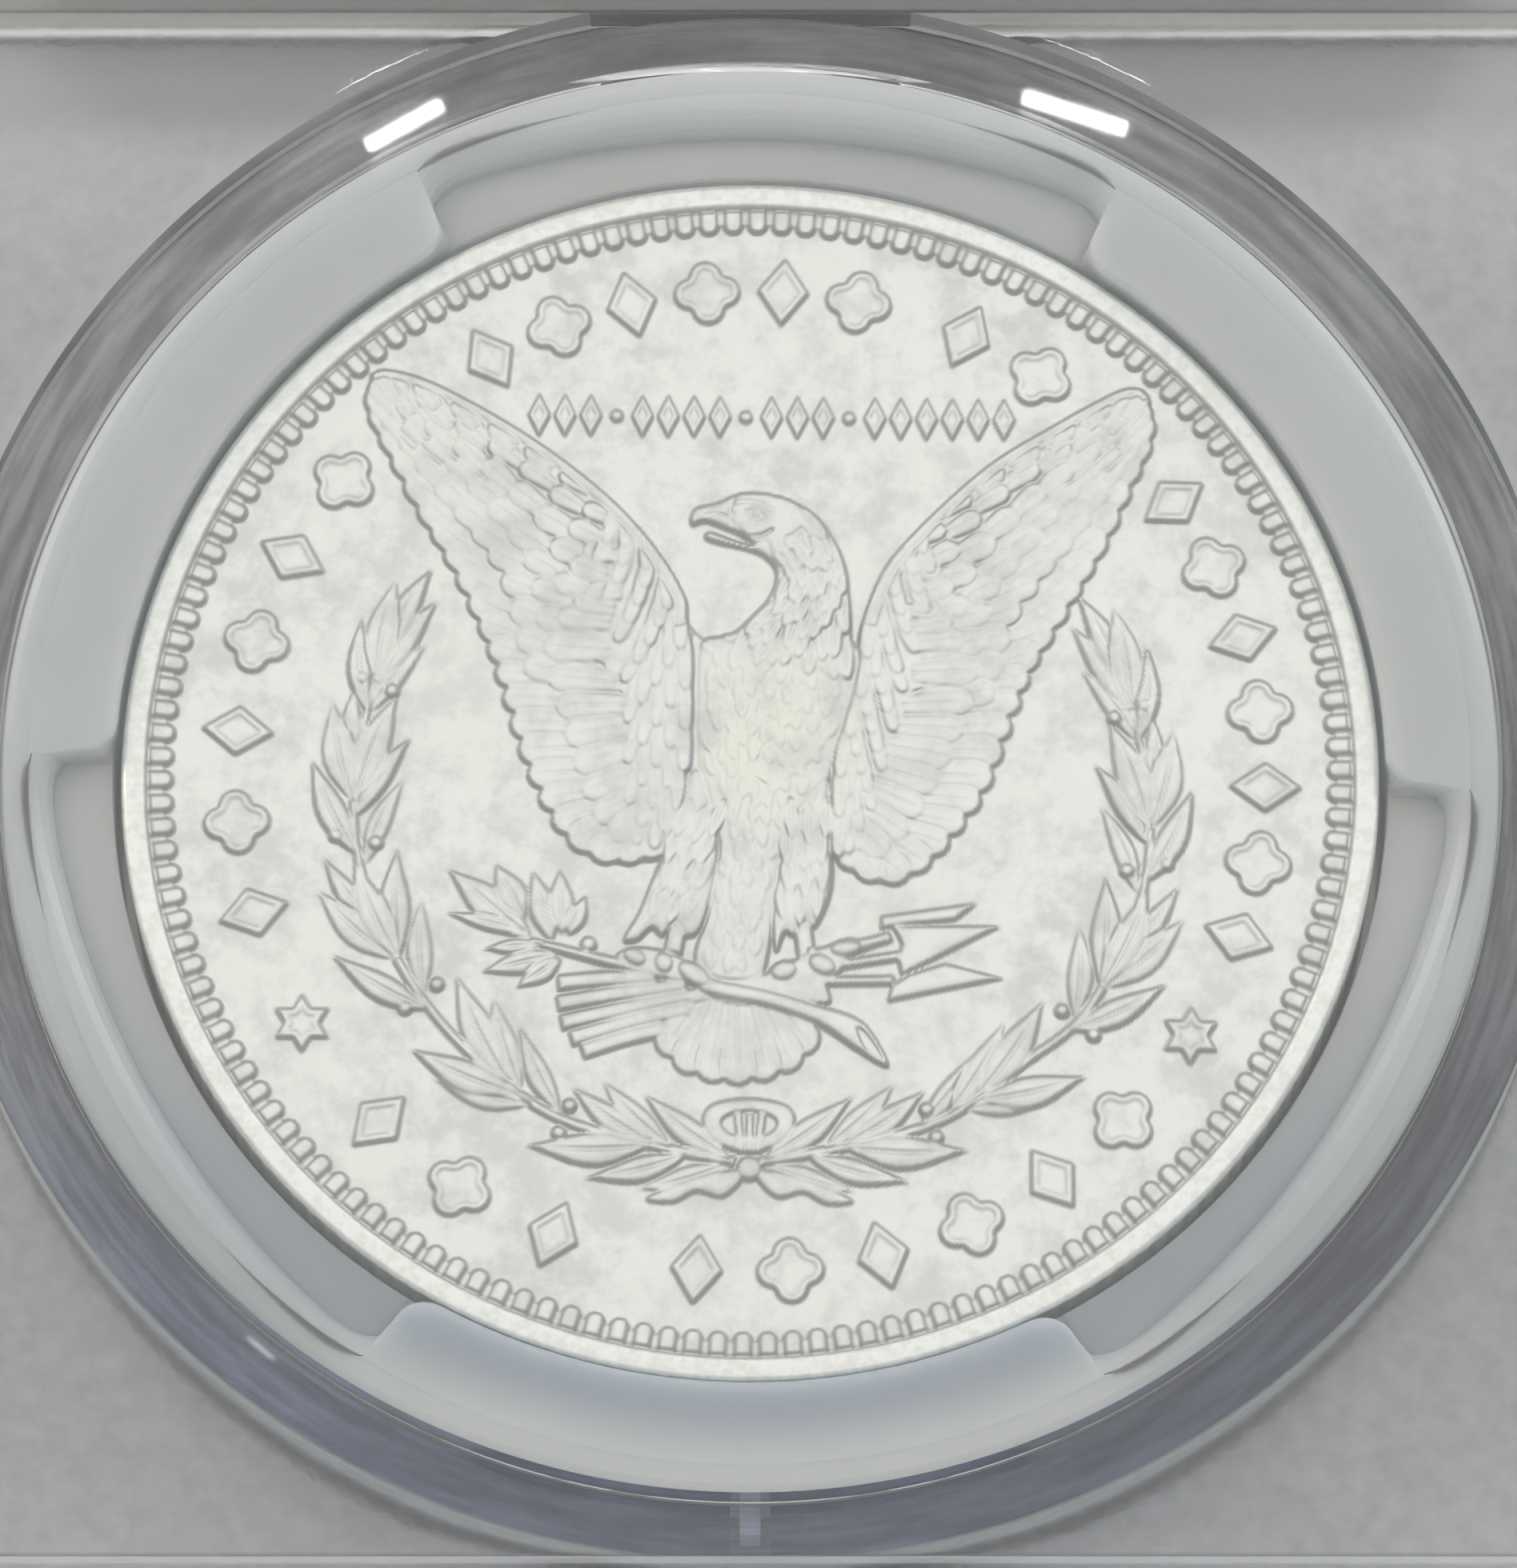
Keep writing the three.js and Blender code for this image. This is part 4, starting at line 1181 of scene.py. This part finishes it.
def card_print(side):
    """Pale printed card: a ruled border, a fine guilloche and plain blocks where print would be."""
    s = new_material("label_card_" + side)
    x, y, _ = s.axes()
    u = s.math("DIVIDE", x, LABEL_WIDTH / 2 * MM)
    v = s.math("DIVIDE", s.minus(y, LABEL_Y * MM), LABEL_HEIGHT / 2 * MM)

    def box(middle_u, half_u, middle_v, half_v, soft=0.004):
        """1 inside a rectangle of the card."""
        return s.times(s.ramp(s.size(s.minus(u, middle_u)), half_u + soft, half_u - soft),
                       s.ramp(s.size(s.minus(v, middle_v)), half_v + soft, half_v - soft))

    fibre = s.noise(900, 4, 0.6)
    paper = s.mix(fibre, (0.80, 0.79, 0.73), (0.86, 0.85, 0.79))
    wave = s.math("SINE", s.plus(s.times(v, 60.0), s.times(s.math("SINE", s.times(u, 34.0)), 3.0)))
    line = s.ramp(s.size(wave), 0.25, 0.0)
    colour = s.mix(s.times(line, 0.3), paper, (0.35, 0.47, 0.60))
    border = s.minus(box(0, 0.95, 0, 0.89), box(0, 0.93, 0, 0.85), clamp=True)
    colour = s.mix(border, colour, (0.10, 0.20, 0.38))
    for block in PRINT_BLOCKS:
        colour = s.mix(box(*block), colour, (0.12, 0.16, 0.24))
    sideways = s.node("CombineXYZ", {0: s.times(u, 55.0)}).outputs[0]
    bars = s.ramp(s.noise(1.0, 0.0, 0.5, sideways), 0.49, 0.51)
    colour = s.mix(s.times(box(0.12, 0.20, -0.5, 0.16), bars), colour, (0.06, 0.06, 0.07))
    return s.surface(s.principled(colour, 0.55, s.bump(fibre, 0.02, 0.3)))


def hologram():
    """Embossed metallic foil with fine rings, and a rainbow painted in rings and petals for its diffraction
    sheen.
    """
    s = new_material("hologram_foil")
    x, y, _ = s.axes()
    cx, cy = sum(box_mm("hologram_sticker"))[:2] / 2 * MM
    dx, dy = s.minus(x, cx), s.minus(y, cy)
    away = s.length(dx, dy)
    turn = s.math("ARCTAN2", dy, dx)
    petals = s.math("SINE", s.plus(s.times(turn, 6.0), s.times(away, 900.0)))
    hue = s.math("FRACT", s.plus(s.times(turn, 0.32), s.times(away, 210.0)))
    # Painted sheen: rainbow colours fixed by place, standing in for the foil's diffraction.
    painted_rainbow = s.node("CombineColor", {0: hue, 1: 0.42, 2: 0.85}, mode="HSV").outputs[0]
    colour = s.mix(s.ramp(petals, -0.2, 0.2), (0.66, 0.69, 0.73), painted_rainbow)
    normal = s.bump(s.math("SINE", s.times(away, 9000.0)), 0.01, 0.3)
    return s.surface(s.principled(colour, 0.24, normal, Metallic=1.0))


def plain(name, dark, light, roughness, metallic=0.0):
    s = new_material(name)
    grain = s.noise(900, 3, 0.6)
    colour, normal = s.mix(grain, dark, light), s.bump(grain, 0.01, 0.3)
    return s.surface(s.principled(colour, roughness, normal, Metallic=metallic))


# ---- Painted shade on the silver's steep faces ----------------------------------------------
STEEPEST = 0.09  # 1 minus the upward part of the normal where the painted shade is full


def add_steep_shade(piece):
    """Stores how steep each point of the coin's faces is, for the painted shade where the relief steps up.
    """
    mesh = piece.data
    co = np.empty(len(mesh.vertices) * 3, np.float32)
    mesh.vertices.foreach_get("co", co)
    x, y, _ = (co.reshape(-1, 3) / MM).T
    normal = np.empty(len(mesh.vertices) * 3, np.float32)
    mesh.vertex_normals.foreach_get("vector", normal)
    slope = 1 - np.abs(normal.reshape(-1, 3)[:, 2])
    steep = np.clip(slope / STEEPEST, 0, 1) ** 0.7 * (np.hypot(x, y - COIN_Y) < RIM + 0.1)
    mesh.attributes.new("steep_shade", "FLOAT", "POINT").data.foreach_set("value", steep.astype(np.float32))


# ---- Assembly -------------------------------------------------------------------------------
def dress(piece, material):
    piece.data.materials.clear()
    piece.data.materials.append(material)


def settle(piece, node, body, material):
    dress(piece, material)
    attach(piece, body)
    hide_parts(node)


def build_slab():
    glass = clear_case()
    settle(shell_half("back_case", 1), "back_shell", "case", glass)
    settle(shell_half("front_case", -1), "front_shell", "case", glass)
    settle(soft_ring("prong_ring"), "gasket", "case", soft_ring_plastic())
    coin = coin_mesh("struck_coin", eagle_face(0.05), sun_face(0.1))
    add_steep_shade(coin)
    settle(coin, "coin", "coin", struck_silver())
    for side in ("back", "front"):
        card = sheet_piece(side + "_card", side + "_label", 1.2)
        settle(card, side + "_label", "case", card_print(side))
    seal = sheet_piece("hologram_seal", "hologram_sticker", 1.5, 0.03)
    settle(seal, "hologram_sticker", "case", hologram())
    film = plain("tag_film", (0.70, 0.68, 0.58), (0.76, 0.74, 0.66), 0.4)
    antenna = plain("antenna_foil", (0.55, 0.56, 0.57), (0.7, 0.7, 0.7), 0.3, 1.0)
    chip = plain("chip_plastic", (0.015, 0.016, 0.018), (0.03, 0.03, 0.032), 0.35)
    for node, material in (("nfc_film", film), ("nfc_antenna", antenna), ("nfc_chip", chip)):
        dress(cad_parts[node], material)


# ---- Stage ----------------------------------------------------------------------------------
def area_light(name, place, target, size, power, colour=(1, 1, 1), size_y=None):
    data = bpy.data.lights.new(name, "AREA")
    data.energy, data.color, data.size = power, colour, size
    if size_y:
        data.shape, data.size_y = "RECTANGLE", size_y
    lamp = bpy.data.objects.new(name, data)
    bpy.context.scene.collection.objects.link(lamp)
    lamp.location = Vector(place)
    lamp.rotation_euler = (Vector(target) - Vector(place)).to_track_quat("-Z", "Y").to_euler()
    return lamp


def build_stage():
    corners = [(-0.6, -0.6, 0), (0.6, -0.6, 0), (0.6, 0.6, 0), (-0.6, 0.6, 0)]
    mesh = bpy.data.meshes.new("floor")
    mesh.from_pydata(corners, [], [(0, 1, 2, 3)])
    floor = bpy.data.objects.new("floor", mesh)
    bpy.context.scene.collection.objects.link(floor)
    floor.location.z = -0.0002
    s = new_material("floor_paper")
    grain = s.noise(40, 3, 0.5)
    colour = s.mix(grain, (0.53, 0.528, 0.525), (0.575, 0.573, 0.57))
    dress(floor, s.surface(s.principled(colour, 0.8, s.bump(grain, 0.05, 0.1))))

    world = bpy.data.worlds.new("studio")
    bpy.context.scene.world = world
    w = Nodes(world, "World")
    up = w.node("SeparateXYZ", {0: w.node("TexCoord").outputs["Generated"]}).outputs[2]
    strength = w.ramp(up, 0.0, 1.0, 0.38, 0.46, "LINEAR")
    w.surface(w.node("Background", {"Color": (0.95, 0.95, 0.93, 1), "Strength": strength}).outputs[0])

    centre = (0, COIN_Y * MM, TOP * MM)
    area_light("softbox", (0, COIN_Y * MM + 0.15, 0.63), centre, 0.6, 0.66, (1.0, 0.99, 0.97))
    area_light("fill", (0, COIN_Y * MM - 0.42, 0.34), centre, 0.5, 0.3, (0.97, 0.98, 1.0))
    area_light("left_strip", (-0.30, 0.22, 0.28), centre, 0.05, 0.35, (1.0, 0.96, 0.9), 0.12)
    area_light("right_strip", (0.28, 0.24, 0.28), centre, 0.05, 0.35, (0.95, 0.97, 1.0), 0.12)


def build_camera():
    """Looks down at the coin, from a little below it on the sheet, so the far walls of the well show."""
    tilt = math.radians(17.9)
    distance = 0.350
    view_width = 45.97 * MM
    target = Vector((0.25 * MM, COIN_Y * MM - 0.19 * MM, COIN_HIGH[2] * MM))
    back = Vector((0, -math.sin(tilt), math.cos(tilt)))
    data = bpy.data.cameras.new("camera")
    data.sensor_fit, data.sensor_width = "HORIZONTAL", 36
    data.lens = 36 * distance / view_width
    data.clip_start, data.clip_end = 0.01, 10
    camera = bpy.data.objects.new("camera", data)
    bpy.context.scene.collection.objects.link(camera)
    camera.location = target + back * distance
    camera.rotation_euler = (-back).to_track_quat("-Z", "Y").to_euler()
    bpy.context.scene.camera = camera


def glint(name, x, y, long, wide, turn_deg, radiance):
    """A small lamp whose mirror image in the case's flat back shows at (x, y) mm from the coin's centre."""
    spot = Vector((x * MM, (COIN_Y + y) * MM, (TOP - LIP) * MM))
    ray = spot - bpy.context.scene.camera.location
    reach = 0.3  # metres from the glass to the lamp
    bounce = Vector((ray.x, ray.y, -ray.z)).normalized()
    grow = (ray.length + reach) / ray.length * MM
    power = radiance * math.pi * long * wide * grow**2
    lamp = area_light(name, spot + bounce * reach, spot, long * grow, power, (1, 1, 1), wide * grow)
    turn = math.radians(turn_deg)
    across = bounce.cross(Vector((math.cos(turn), math.sin(turn), 0))).normalized()
    lamp.rotation_euler = Matrix((across.cross(bounce), across, bounce)).transposed().to_euler()


build_slab()
build_stage()
build_camera()
glint("left_glint", -10.6, 20.3, 2.6, 0.42, 31, 40)
glint("right_glint", 9.95, 20.7, 3.3, 0.45, -19, 40)
glint("low_glint", -14.5, -18.5, 1.0, 0.11, -40, 9)
bpy.context.scene.view_settings.view_transform = "Standard"
